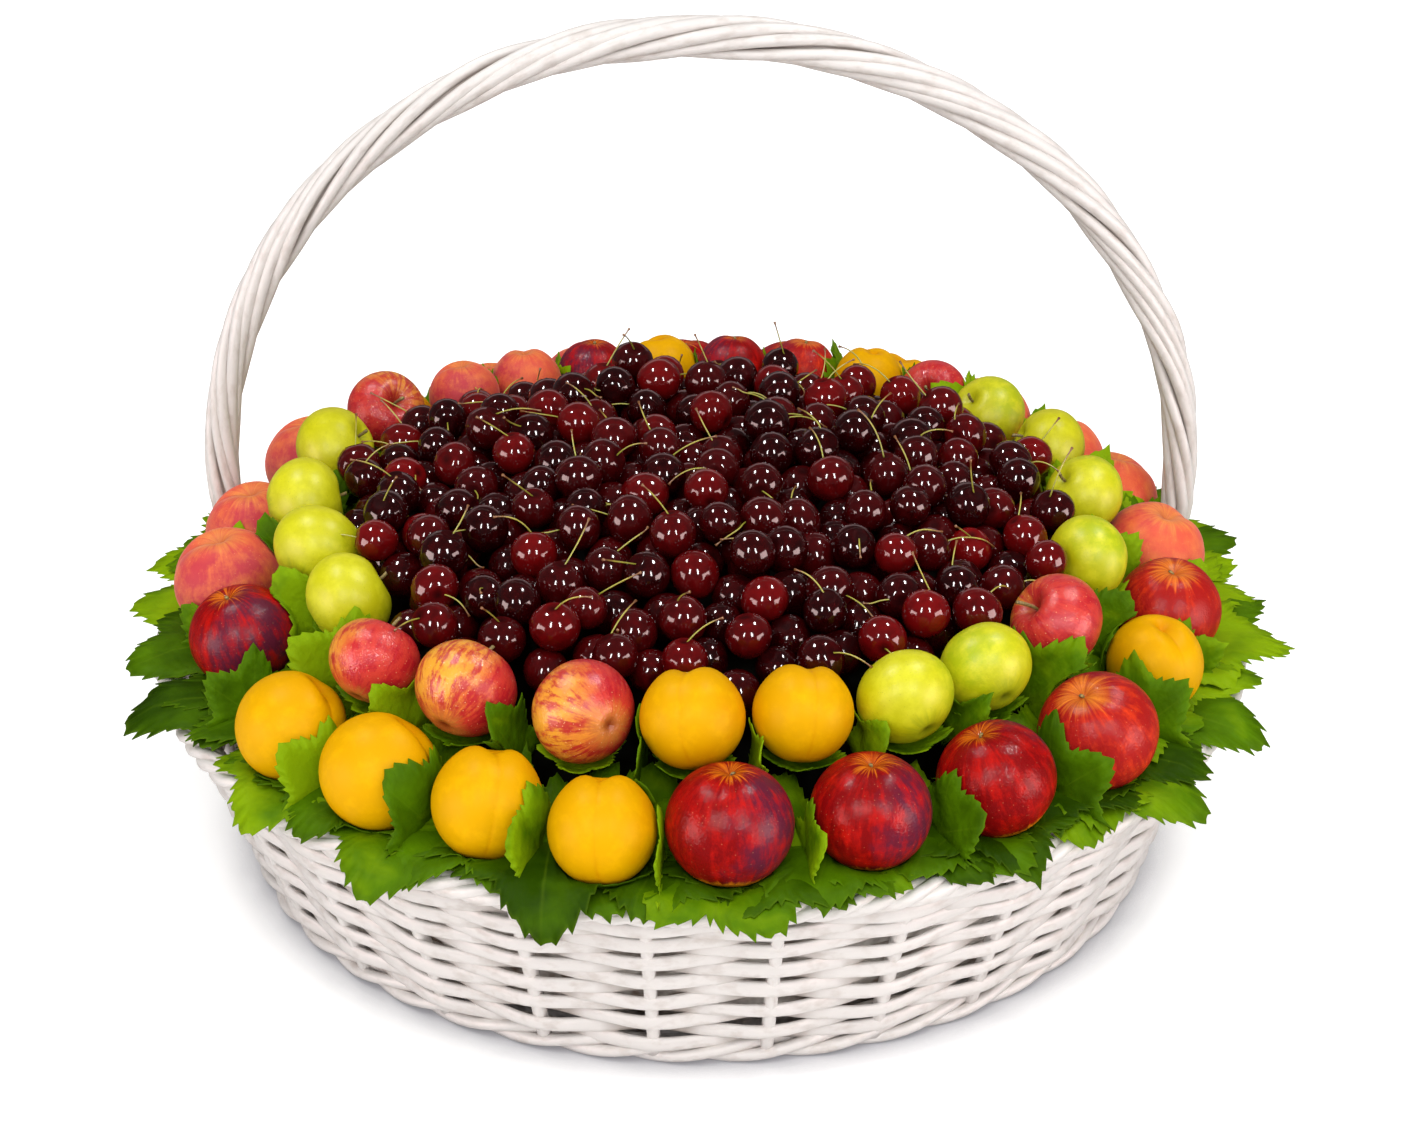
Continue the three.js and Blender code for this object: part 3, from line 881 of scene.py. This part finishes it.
class BASKET_OT_handle(bpy.types.Operator):
    """Twist the rods of the bow handle"""

    bl_idname = "basket.handle"
    bl_label = "Twist the handle"

    def execute(self, context):
        sizes = context.scene.basket_sizes
        # Four pairs of rods wind round a core, which comes last.
        rods = 8
        bm = start()
        long_rod = rod_shape(12, 130)
        chance = random.Random(5)
        for number in range(rods + 1):
            phase = TAU * (number // 2) / (rods / 2) + 0.68 * (number % 2) + chance.uniform(-0.05, 0.05)
            thick = chance.uniform(0.86, 1.1)

            def place(co):
                middle, out, total = handle_point(co.z)
                # The handle is thickest at its top, where its girth is 12.2.
                girth = 9.4 + 2.8 * math.sin(math.pi * co.z)
                radius = sizes.handle_rod / MM / 2 * thick * girth / 12.2
                uneven = 0.07 * math.sin(29 * co.z + phase * 3) + 0.05 * math.sin(61 * co.z + phase * 5)
                ring = (girth - radius) * (1 + uneven)
                if number == rods:
                    radius, ring = girth * 0.55, 0
                angle = phase + TAU * co.z * total / (sizes.twist / MM)
                angle += 0.14 * math.sin(17 * co.z + phase * 2)
                side = Vector((0, 1, 0))
                centre = middle + out * ring * math.cos(angle) + side * ring * math.sin(angle)
                # Painted shade where two rods meet, and over the whole core between them.
                facing = co.x * math.cos(angle) + co.y * math.sin(angle)
                painted_shade = 1 if number == rods else 0.7 * smooth(0.1, -0.3, facing)
                local = out * (co.x * radius) + side * (co.y * radius)
                pattern = (co.z * total * 0.15, number * 5.0, around_rod(co.x, co.y))
                return centre + local, pattern, (painted_shade, 0, 0)

            add_shape(bm, long_rod, place)
        finish_willow(bm, "twisted_handle", "bow_handle")
        return {"FINISHED"}


# ---- The cherries ----

# Side of the square cells in which neighbouring cherries are looked for, just over a cherry's width.
CELL = 26
# Tries for each cherry's place, the most cherries, and how far a cherry may stand out of the heap.
TRIES, MOST, PROUD = 260, 600, 7
# Height of the heap's top in the middle, and how far it falls to the radius of its edge.
HEAP_TOP, HEAP_FALL, HEAP_EDGE = 231, 26, 191
# How far below the heap's top the lowest cherries' bed lies, where the upper ones end, and where stems end.
BED, UNDER, STEMLESS = 30, 13, 12
# Two cherries that touch are this close, as a share of their radii.
NEST = 0.95


def heap_top(x, y):
    """Height of the upper cherries' middles. At the back the heap's edge is lower, so that the fruit's tops
    show over it."""
    distance = math.hypot(x, y)
    at_back = smooth(180, 196, distance) * smooth(0.1, 0.7, y / max(distance, 1))
    return HEAP_TOP - HEAP_FALL * (distance / HEAP_EDGE) ** 2 - 14 * at_back


def pile_cherries(sizes, chance):
    """Drops cherries one by one into the lowest place of several tried, until the heap is full. Returns each
    one's middle and radius."""
    reach, half = sizes.reach / MM, sizes.width / MM / 2
    placed, cells = [], {}
    near_fruit = [f for f in LARGE_FRUIT if f.ring == "inner"]

    def rest(x, y, r):
        height = heap_top(x, y) - BED + r
        for fruit in near_fruit:
            gap = math.hypot(x - fruit.centre.x, y - fruit.centre.y) / (r + fruit.wide)
            if gap < 1:
                height = max(height, fruit.centre.z + (r + fruit.tall) * math.sqrt(1 - gap * gap))
        column = (int(x // CELL), int(y // CELL))
        for i in (-1, 0, 1):
            for j in (-1, 0, 1):
                for ox, oy, oz, other in cells.get((column[0] + i, column[1] + j), ()):
                    apart = (x - ox) ** 2 + (y - oy) ** 2
                    touch = ((r + other) * NEST) ** 2
                    if apart < touch:
                        height = max(height, oz + math.sqrt(touch - apart))
        return height

    while len(placed) < MOST:
        best = None
        r = half * chance.uniform(0.93, 1.06)
        for _ in range(TRIES):
            angle = chance.uniform(0, TAU)
            out = reach * math.sqrt(chance.random())
            x, y = out * math.sin(angle), -out * math.cos(angle)
            z = rest(x, y, r)
            over = z - heap_top(x, y)
            if best is None or over < best[0]:
                best = (over, x, y, z)
        if best[0] > PROUD:
            break
        _, x, y, z = best
        placed.append((x, y, z, r))
        cells.setdefault((int(x // CELL), int(y // CELL)), []).append((x, y, z, r))
    return placed


def cherry_shape():
    """A cherry of radius 1 on a coarse cage, which the subdivision draws in: shoulders round a stem hollow,
    and a slightly narrower foot."""
    cage = 1.12
    bm = bmesh.new()
    bmesh.ops.create_uvsphere(bm, u_segments=10, v_segments=6, radius=cage)
    for vert in bm.verts:
        polar = math.acos(min(max(vert.co.z / cage, -1), 1))
        if polar < 0.1:
            vert.co.z = 0.8
        elif polar < 0.6:
            vert.co = Vector((vert.co.x * 0.66, vert.co.y * 0.66, 1.04))
        vert.co.x *= 1.03 + 0.04 * math.cos(polar)
        vert.co.y *= 0.97 + 0.04 * math.cos(polar)
    return as_shape(bm)


def turn_towards(direction):
    return direction.to_track_quat("Z", "Y").to_matrix()


def stem_path(centre, axis, r, length, placed, chance):
    """Points of a stem that starts in the hollow, bends with its own weight and lies over the placed cherries
    round it."""
    steps, clear = 12, 0.9
    heading = (axis + Vector((chance.uniform(-1.1, 1.1), chance.uniform(-1.1, 1.1), -0.1))).normalized()
    droop = Vector((chance.uniform(-0.3, 0.3), chance.uniform(-0.3, 0.3), 0))
    droop.z = chance.choice((-1.0, -0.7, -0.4, 0.0))
    if centre.y > 120 and chance.random() < 0.3:
        # A few at the back stand up over the heap.
        heading, droop = Vector((chance.uniform(-0.35, 0.35), -0.2, 1)).normalized(), Vector((0, 0, 0))
    points, here = [], centre + axis * r * 0.7
    for step in range(steps + 1):
        points.append(here.copy())
        heading = (heading + droop * (0.12 if step > 1 else 0)).normalized()
        here = here + heading * length / steps
        if step > 1:
            for ox, oy, oz, other in placed:
                away = here - Vector((ox, oy, oz))
                if away.length < other + clear:
                    here = Vector((ox, oy, oz)) + away.normalized() * (other + clear)
    longer = [points[0], *points, points[-1]]
    return [a * 0.25 + b * 0.5 + c * 0.25 for a, b, c in zip(longer, points, longer[2:])]


def lay_filling():
    """Makes the filling under the cherries and the two rings, painted dark as shade: half its section, spun
    round.
    """
    bm = bmesh.new()
    section = [(0, 6), (248, 6), (270, 60), (286, 118), (262, 118), (246, 122), (230, 134), (222, 150)]
    section += [(210, 152), (196, 158), (188, 170), (150, 186), (100, 197), (50, 203), (0, 205)]
    made = [bm.verts.new((radius, 0, height)) for radius, height in section]
    edges = [bm.edges.new(pair) for pair in zip(made, made[1:])]
    spin_round(bm, made + edges, 72)
    bmesh.ops.remove_doubles(bm, verts=bm.verts, dist=0.01)
    # The steep outer side is seen through the weave.
    for face in bm.faces:
        middle = face.calc_center_median()
        if middle.z < 117 and middle.xy.length > 240:
            face.material_index = 1
    # Painted shadow under the fruit: a nearly black sheet.
    pressed = shaded_filling("pressed_leaf_filling", "#030200", "#060602")
    # Behind the weave: painted shade for the inside of the rods, grey-white with darker brown patches.
    lining = shaded_filling("willow_lining_shaded", "#7c6c60", "#efe9e2")
    finish_piece(bm, "painted_shade_filling", [pressed, lining], ["cherry_heap"])


class CHERRY_OT_heap(bpy.types.Operator):
    """Heap up the cherries and lay their stems over them"""

    bl_idname = "cherry.heap"
    bl_label = "Heap the cherries"

    def execute(self, context):
        sizes, colours = context.scene.cherry_sizes, context.scene.fruit_colours
        chance = random.Random(41)
        placed = pile_cherries(sizes, chance)
        shape = cherry_shape()
        upper, lower = start(), start()
        stems = []
        for number, (x, y, z, r) in enumerate(placed):
            lean = math.radians(chance.choice((15, 35, 55, 75, 95)) + chance.uniform(-10, 10))
            axis = ring_point(chance.uniform(0, TAU), math.sin(lean), math.cos(lean))
            turned = turn_towards(axis) @ Matrix.Rotation(chance.uniform(0, TAU), 3, "Z")
            centre = Vector((x, y, z))
            tall = chance.uniform(0.92, 1.02)
            seed = Vector((number * 31.7, number * 17.3, 0))
            under = z < heap_top(x, y) - UNDER
            # Cherries differ in colour at random, and the ones low in the heap get painted shade: they are
            # painted darkest.
            ripeness_and_shade = chance.random() ** 1.7 * (0.3 if under else 0.66)

            def place(co):
                # 1 at the point where the stem grows: the skin's hollow, which gets painted shade and the
                #                                      dull skin.
                hollow = 1.0 if co.xy.length < 0.05 and co.z > 0 else 0.0
                point = centre + turned @ Vector((co.x, co.y, co.z * tall)) * r
                return point, co * 12 + seed, (ripeness_and_shade, hollow, 0)

            bm = lower if under else upper
            tone = bm.verts.layers.float_vector["tone"]
            for vert in add_shape(bm, shape, place):
                if vert[tone].y:
                    for face in vert.link_faces:
                        face.material_index = 1
            if axis.z > 0.0 and z > heap_top(x, y) - STEMLESS and chance.random() < 0.95:
                stems.append((centre, axis, r))
        skin = cherry_skin(colours, "cherry_skin_glossy", {"Roughness": 0.09, "Specular IOR Level": 0.4})
        dull = cherry_skin(colours, "cherry_hollow_dull", {"Roughness": 0.5, "Specular IOR Level": 0.02})
        for bm, name in ((upper, "cherries"), (lower, "cherries_under")):
            heap = finish_piece(bm, name, [skin, dull], ["cherry_heap"])
            rounder = heap.modifiers.new("Rounder", "SUBSURF")
            rounder.levels = rounder.render_levels = 1

        bm = start()
        long_stem = rod_shape(6, 9)
        for centre, axis, r in stems:
            length = sizes.stem / MM * chance.uniform(0.7, 1.15)
            kinks = stem_path(centre, axis, r, length, placed, chance)
            steps = len(kinks) - 1

            def along(co):
                run = co.z * steps
                index = min(int(run), steps - 1)
                middle = kinks[index].lerp(kinks[index + 1], run - index)
                tangent = (kinks[min(index + 1, steps)] - kinks[max(index - 1, 0)]).normalized()
                # A knob at the far end, and a thickening where it grows from the cherry.
                swell = 1 + 1.1 * smooth(0.9, 0.99, co.z) + 0.4 * (1 - smooth(0, 0.08, co.z))
                across = Vector((co.x, co.y, 0)) * (sizes.stem_width / MM / 2 * swell)
                return middle + turn_towards(tangent) @ across, (co.z, index, len(bm.verts)), (0, 0, 0)

            add_shape(bm, long_stem, along)
        finish_piece(bm, "cherry_stems", [green_stem()], ["cherry_heap"])
        lay_filling()
        return {"FINISHED"}


# ---- The vine leaves ----

# Each lobe of a leaf: its angle from the main one in degrees, its length and its half width.
LOBES = (
    (0, 1.0, 34),
    (56, 0.88, 31),
    (-56, 0.88, 31),
    (112, 0.72, 32),
    (-112, 0.72, 32),
    (156, 0.5, 26),
    (-156, 0.5, 26),
)
# The three columns of the leaf's grid that make one tooth, from its point.
TEETH = (1.0, 0.4, 0.0)
# How far a leaf reaches round its stalk to either side, in degrees, and how far out between two lobes.
SPREAD, NOTCH = 168, 0.36
# Longest edge that a leaf between the fruit may have.
TORN = 25
# Height of the skirt's lowest leaves, the radius where they leave the border, and the border's top.
SKIRT, BORDER, BORDER_TOP = 131.6, 312, 131.2


def leaf_shape(columns, rows, chance):
    """A flat vine leaf whose main lobe is 1 long: a grid wrapped round the stalk, with lobes and teeth at its
    edge. Its height keeps how far out a point lies, until the leaf is laid."""
    lobes = [
        (at + chance.uniform(-7, 7), length * chance.uniform(0.86, 1.1), width * chance.uniform(0.85, 1.15))
        for at, length, width in LOBES
    ]
    bites = [chance.uniform(0.5, 1.5) for _ in range(columns // 3 + 1)]
    bm = bmesh.new()
    bmesh.ops.create_grid(bm, x_segments=columns, y_segments=rows, size=1)
    for vert in bm.verts:
        column = round((vert.co.x + 1) / 2 * columns)
        angle = math.radians(vert.co.x * SPREAD)
        out = ((vert.co.y + 1) / 2) ** 0.85
        edge, flank = NOTCH, 1
        for at, length, width in lobes:
            off = (math.degrees(angle) - at) / width
            reach = length * (1 - 0.36 * abs(off) ** 0.95)
            if reach > edge:
                edge, flank = reach, math.copysign(1, off)
        # The teeth point forward, to the tip of their lobe.
        tooth = TEETH[int(column * flank) % 3] * bites[column // 3]
        reach = (edge - 0.03) * out + 0.062 * tooth * out**6
        angle -= flank * math.radians(0.7) * tooth * out**6
        vert.co = Vector((math.cos(angle) * reach, math.sin(angle) * reach, out))
    bmesh.ops.remove_doubles(bm, verts=bm.verts, dist=0.0001)
    return as_shape(bm, recalc=False)


def vein(angle):
    """1 along the middle of a lobe, falling away to either side."""
    near = min(abs(math.degrees(angle) - at) for at, _, _ in LOBES)
    return max(0, 1 - near / 4.5)


def swung(x, y, swing):
    """A point of a leaf after the leaf is turned on its stalk: how far along and how far across."""
    return x * math.cos(swing) - y * math.sin(swing), x * math.sin(swing) + y * math.cos(swing)


def lay(bm, shapes, chance, length, place, bright, rounds=2, gap=1.2):
    """Adds one leaf and returns its points. place() takes a point of the flat leaf and its lift to the
    basket, and the fruit then pushes it clear, as many rounds as asked."""
    ripple = chance.uniform(0, TAU)

    def on_leaf(co):
        x, y, out = co.x * length, co.y * length, co.z
        angle = math.atan2(y, x)
        waves = 1.3 * math.sin(5 * angle + ripple) * out**2
        lift = waves + 2.2 * out * noise.noise(Vector((x / 14, y / 14, ripple * 9)))
        point = place(x, y, lift)
        for _ in range(rounds):
            for fruit in LARGE_FRUIT:
                if abs(point.x - fruit.centre.x) < 40 and abs(point.y - fruit.centre.y) < 40:
                    point = fruit.push_out(point, gap)
        return point, (co.x, co.y, vein(angle) * (1 - 0.5 * out)), (bright, out, 0)

    return add_shape(bm, chance.choice(shapes), on_leaf)


def lay_skirt(bm, chance, shapes):
    """Leaves on the border, tips hanging over its edge."""
    count = 66
    for number in range(count):
        around = TAU * number / count + chance.uniform(-0.06, 0.06)
        swing = math.radians(chance.uniform(-28, 28))
        front = math.cos(around)
        # Between the front and the sides the leaves lie farther in, as the photo's outline does.
        corner = smooth(0.05, 0.35, front) * (1 - smooth(0.5, 0.85, front))
        base = 272 + chance.uniform(-4, 4) - 5 * (number % 3) - 5 * corner
        # At the front and back the tips hang down, and at the sides some of them stand up.
        hang = smooth(0.0, 0.5, front) + smooth(0.1, 0.75, -front)
        limp = chance.uniform(0.6, 1.2) * hang + chance.uniform(-0.9, 0.5) * (1 - hang)
        layer = (number % 4) * 1.2 + chance.uniform(0, 0.5)

        def skirt(x, y, lift):
            along, across = swung(x, y, swing)
            distance = base + along
            over = max(0, distance - BORDER)
            height = SKIRT + layer + lift * 1.3 - limp * (0.1 * over + 0.011 * over * over)
            if over < 3:
                height = max(height, BORDER_TOP)
            return ring_point(around + across / max(distance, 240), distance - 0.12 * over, height)

        # Leaves differ in tone at random, and the ones at the sides are painted lighter, a painted light.
        size, bright = chance.uniform(62, 76), chance.uniform(-0.22, 0.44) + 0.26 * (1 - hang)
        lay(bm, shapes, chance, size, skirt, bright)


def lay_between(bm, chance, shapes, ring, is_outer):
    """Leaves that stand in the gaps of a ring and lean on the farther fruit. Returns the points of those that
    a fruit of the other ring would stretch round both of its sides."""
    inset, height, length, rise = (2, 134, 44, 46) if is_outer else (5, 158, 38, 54)
    torn = []
    for one, two in zip(ring, ring[1:] + ring[:1]):
        around = one.azimuth + (two.azimuth - one.azimuth) % TAU / 2
        sideways = abs(math.sin(around))
        away = 1 if math.sin(around) > 0 else -1
        if sideways < 0.15:
            away = chance.choice((-1, 1))
        up = math.radians(rise + chance.uniform(-15, 12))
        distance = (one.distance + two.distance) / 2 + inset
        size = length * chance.uniform(0.85, 1.1) * (1 + (-0.06 if is_outer else 0.2) * sideways)
        # Seen from the front, the leaves of the front gaps stand edge on.
        lean = 0.04 + 0.3 * min(1, sideways * 1.8)

        def standing(x, y, lift):
            along, over = swung(x, y, up)
            aside = away * (2 + lean * max(0, over - 4)) + lift
            # No part of an outer leaf goes below the border.
            low = max(0, 133 - height - over) if is_outer else 0
            point = ring_point(around, distance + along + 0.8 * low, height + over + low)
            return point + ring_point(around + math.pi / 2, aside, 0)

        leaf = lay(bm, shapes, chance, size, standing, chance.uniform(0.0, 0.7), 2, 2.0)
        if max(edge.calc_length() for vert in leaf for edge in vert.link_edges) > TORN:
            torn += leaf
    return torn


def lay_moat(bm, chance, shapes):
    """Leaves in the moat between the rings, which lie up the slope behind the outer fruit."""
    # Radius of the moat's middle, the radius and height of the stalks, and how steeply the leaves rise.
    middle, stalk, height, rise = 255, 266, 138, 0.55
    count = 40
    for number in range(count):
        around = TAU * number / count + chance.uniform(-0.08, 0.08)
        swing = math.radians(chance.uniform(-50, 50))

        def slope(x, y, lift):
            along, across = swung(x, y, swing)
            return ring_point(around + across / middle, stalk - along, height + rise * along + 1.5 * lift)

        lay(bm, shapes, chance, chance.uniform(34, 44), slope, chance.uniform(0.0, 0.5))


def lay_cups(bm, chance, shapes, ring):
    """Under each fruit of a ring, a leaf cupped round its lower half."""
    for fruit in ring:
        turn = chance.uniform(-0.3, 0.3)
        aside = ring_point(fruit.azimuth + math.pi / 2, 1, 0)
        tilt = Matrix.Rotation(math.radians(chance.uniform(6, 16)), 3, aside)

        def cup(x, y, lift):
            out, angle = math.hypot(x, y), math.atan2(y, x) + turn
            bend = out / (fruit.wide + 2)
            # The leaf stands a little off the fruit, and more so towards its edge.
            away = fruit.wide + 1.6 + 2.5 * bend + 0.5 * lift
            flat = ring_point(fruit.azimuth, math.cos(angle), 0) + aside * math.sin(angle)
            return fruit.centre + tilt @ (flat * math.sin(bend) - UP * math.cos(bend)) * away

        size, bright = fruit.wide * chance.uniform(1.12, 1.3), chance.uniform(0.15, 0.6)
        lay(bm, shapes, chance, size, cup, bright, 1, 0.8)


class LEAF_OT_lay(bpy.types.Operator):
    """Lay vine leaves under, between and behind the large fruit"""

    bl_idname = "leaf.lay"
    bl_label = "Lay the vine leaves"

    def execute(self, context):
        green = vine_leaf(context.scene.basket_colours)
        chance = random.Random(77)
        outer, inner = ring_of("outer"), ring_of("inner")
        skirt, collars = start(), start()
        lay_skirt(skirt, chance, [leaf_shape(144, 4, chance) for _ in range(6)])
        shapes = [leaf_shape(108, 4, chance) for _ in range(5)]
        torn = lay_between(collars, chance, shapes, outer, True)
        torn += lay_between(collars, chance, shapes, inner, False)
        lay_moat(collars, chance, shapes)
        lay_cups(collars, chance, shapes, inner)
        bmesh.ops.delete(collars, geom=torn, context="VERTS")
        for bm, name in ((skirt, "vine_leaf_skirt"), (collars, "vine_leaf_collars")):
            leaves = finish_piece(bm, name, [green], ["vine_leaves"], recalc=False)
            thick = leaves.modifiers.new("Thickness", "SOLIDIFY")
            thick.thickness = context.scene.basket_sizes.leaf
            thick.offset = 0
        return {"FINISHED"}


# ---- The stage ----

# Half the width of the floor and the point that every light is turned to, in metres.
FLOOR_HALF = 14
AIM = Vector((0, 0, 0.16))
WHITE, ROSE = (1, 1, 1), (1, 0.74, 0.72)
# Each light's name, place, power, size and tint. One broad sun, which has no size, and three fills light
# everything.
LIGHTING = (
    ("ceiling", (0.02, -0.6, 1.7), 3.4, None, WHITE),
    ("front_fill", (-0.3, -2.6, 1.0), 14, (2.6, 1.6), WHITE),
    ("right_fill", (2.4, -1.4, 1.0), 12, (1.4, 1.4), WHITE),
    ("left_fill", (-2.4, -1.2, 0.9), 6, (1.4, 1.4), WHITE),
)
# Four small lamps, two windows and a backdrop only shine on the skins.
SHINES = (
    ("lamp_back_left", (-0.85, 0.2, 1.9), 30, (0.42, 0.16), WHITE),
    ("lamp_back_right", (0.8, 0.2, 1.9), 30, (0.42, 0.16), WHITE),
    ("lamp_front_left", (-0.62, -1.73, 1.4), 30, (0.17, 0.75), WHITE),
    ("lamp_front_right", (0.72, -1.7, 1.4), 30, (0.17, 0.75), WHITE),
    ("window_left", (-2.0, -1.15, 0.34), 82, (1.5, 1.2), ROSE),
    ("window_right", (2.0, -1.15, 0.34), 86, (1.5, 1.2), ROSE),
    ("backdrop", (0, 2.6, 1.1), 8, (4.0, 0.8), (1, 0.72, 0.72)),
)


def paper_sweep():
    """White paper on the floor, matt, glowing a little. A painted shadow deepens its colour and glow within a
    few centimetres of the basket.
    """
    material, add = new_material("white_paper_sweep")
    where = add("TexCoord").outputs["Object"]
    tooth = add("TexNoise", {"Vector": where, "Scale": 30.0})
    bump = add("Bump", {"Height": tooth, "Strength": 0.02, "Distance": 0.001})
    # Painted shadow: ambient occlusion darkens the paper near the basket.
    near = add("AmbientOcclusion", {"Distance": 0.04}, samples=12).outputs["AO"]
    shadow = add("ValToRGB", {"Fac": near}, [(0.25, "#a3a3a8"), (0.85, "#fdfdfd")])
    glow = {"Emission Color": shadow, "Emission Strength": 0.25}
    return finish_material(material, {"Base Color": shadow, "Roughness": 0.9, "Normal": bump, **glow})


class STAGE_OT_set(bpy.types.Operator):
    """Set the floor, the studio lights and the camera"""

    bl_idname = "stage.set"
    bl_label = "Set the stage"

    def execute(self, context):
        scene = context.scene
        bm = bmesh.new()
        bmesh.ops.create_grid(bm, x_segments=1, y_segments=1, size=FLOOR_HALF)
        mesh = bpy.data.meshes.new("floor")
        bm.to_mesh(mesh)
        bm.free()
        floor = bpy.data.objects.new("floor", mesh)
        scene.collection.objects.link(floor)
        floor.visible_glossy = False
        mesh.materials.append(paper_sweep())

        world = bpy.data.worlds.new("studio")
        scene.world = world
        world.use_nodes = True
        sky = world.node_tree.nodes["Background"].inputs
        sky["Color"].default_value = (0.96, 0.98, 1.0, 1)
        sky["Strength"].default_value = 0.12
        scene.view_settings.view_transform = "Standard"
        scene.view_settings.look = "None"

        for row in LIGHTING + SHINES:
            name, place, power, size, tint = row
            light = bpy.data.lights.new(name, "AREA" if size else "SUN")
            light.energy, light.color = power, tint
            if size:
                light.shape = "RECTANGLE"
                light.size, light.size_y = size
            else:
                light.angle = math.radians(95)
            lamp = bpy.data.objects.new(name, light)
            lamp.location = place
            lamp.rotation_euler = (AIM - Vector(place)).to_track_quat("-Z", "Y").to_euler()
            lamp.visible_diffuse, lamp.visible_glossy = row in LIGHTING, row in SHINES
            scene.collection.objects.link(lamp)

        # The photo's view: from 1.7 m away, looking down at 27 degrees.
        camera = bpy.data.cameras.new("camera")
        camera.sensor_width = 36
        camera.lens = 75.06
        camera_object = bpy.data.objects.new("camera", camera)
        camera_object.location = (0, -1.5147, 0.9328)
        camera_object.rotation_euler = (math.radians(63), 0, 0)
        scene.collection.objects.link(camera_object)
        scene.camera = camera_object
        return {"FINISHED"}


STEPS = (
    "basket.paint",
    "basket.wall",
    "basket.edges",
    "basket.handle",
    "fruit.large",
    "cherry.heap",
    "leaf.lay",
    "stage.set",
)
GROUPS = {
    "basket_sizes": BasketSizes,
    "cherry_sizes": CherrySizes,
    "basket_colours": BasketColours,
    "fruit_colours": FruitColours,
}


class BASKET_PT_panel(bpy.types.Panel):
    """The basket's tools, sizes and colours"""

    bl_label = "Basket of Cherries"
    bl_idname = "BASKET_PT_panel"
    bl_space_type = "VIEW_3D"
    bl_region_type = "UI"
    bl_category = "Basket"

    def draw(self, context):
        for step in STEPS:
            self.layout.operator(step)
        for name in GROUPS:
            box = self.layout.box()
            group = getattr(context.scene, name)
            for prop in group.bl_rna.properties:
                if prop.identifier not in ("rna_type", "name"):
                    box.prop(group, prop.identifier)


CLASSES = (
    *GROUPS.values(),
    BASKET_OT_paint,
    BASKET_OT_wall,
    BASKET_OT_edges,
    BASKET_OT_handle,
    FRUIT_OT_large,
    CHERRY_OT_heap,
    LEAF_OT_lay,
    STAGE_OT_set,
    BASKET_PT_panel,
)


def register():
    for cls in CLASSES:
        bpy.utils.register_class(cls)
    for name, group in GROUPS.items():
        setattr(bpy.types.Scene, name, bpy.props.PointerProperty(type=group))


def unregister():
    for name in GROUPS:
        delattr(bpy.types.Scene, name)
    for cls in reversed(CLASSES):
        bpy.utils.unregister_class(cls)


def main():
    register()
    for step in STEPS:
        group, name = step.split(".")
        getattr(getattr(bpy.ops, group), name)()


if __name__ == "__main__":
    main()
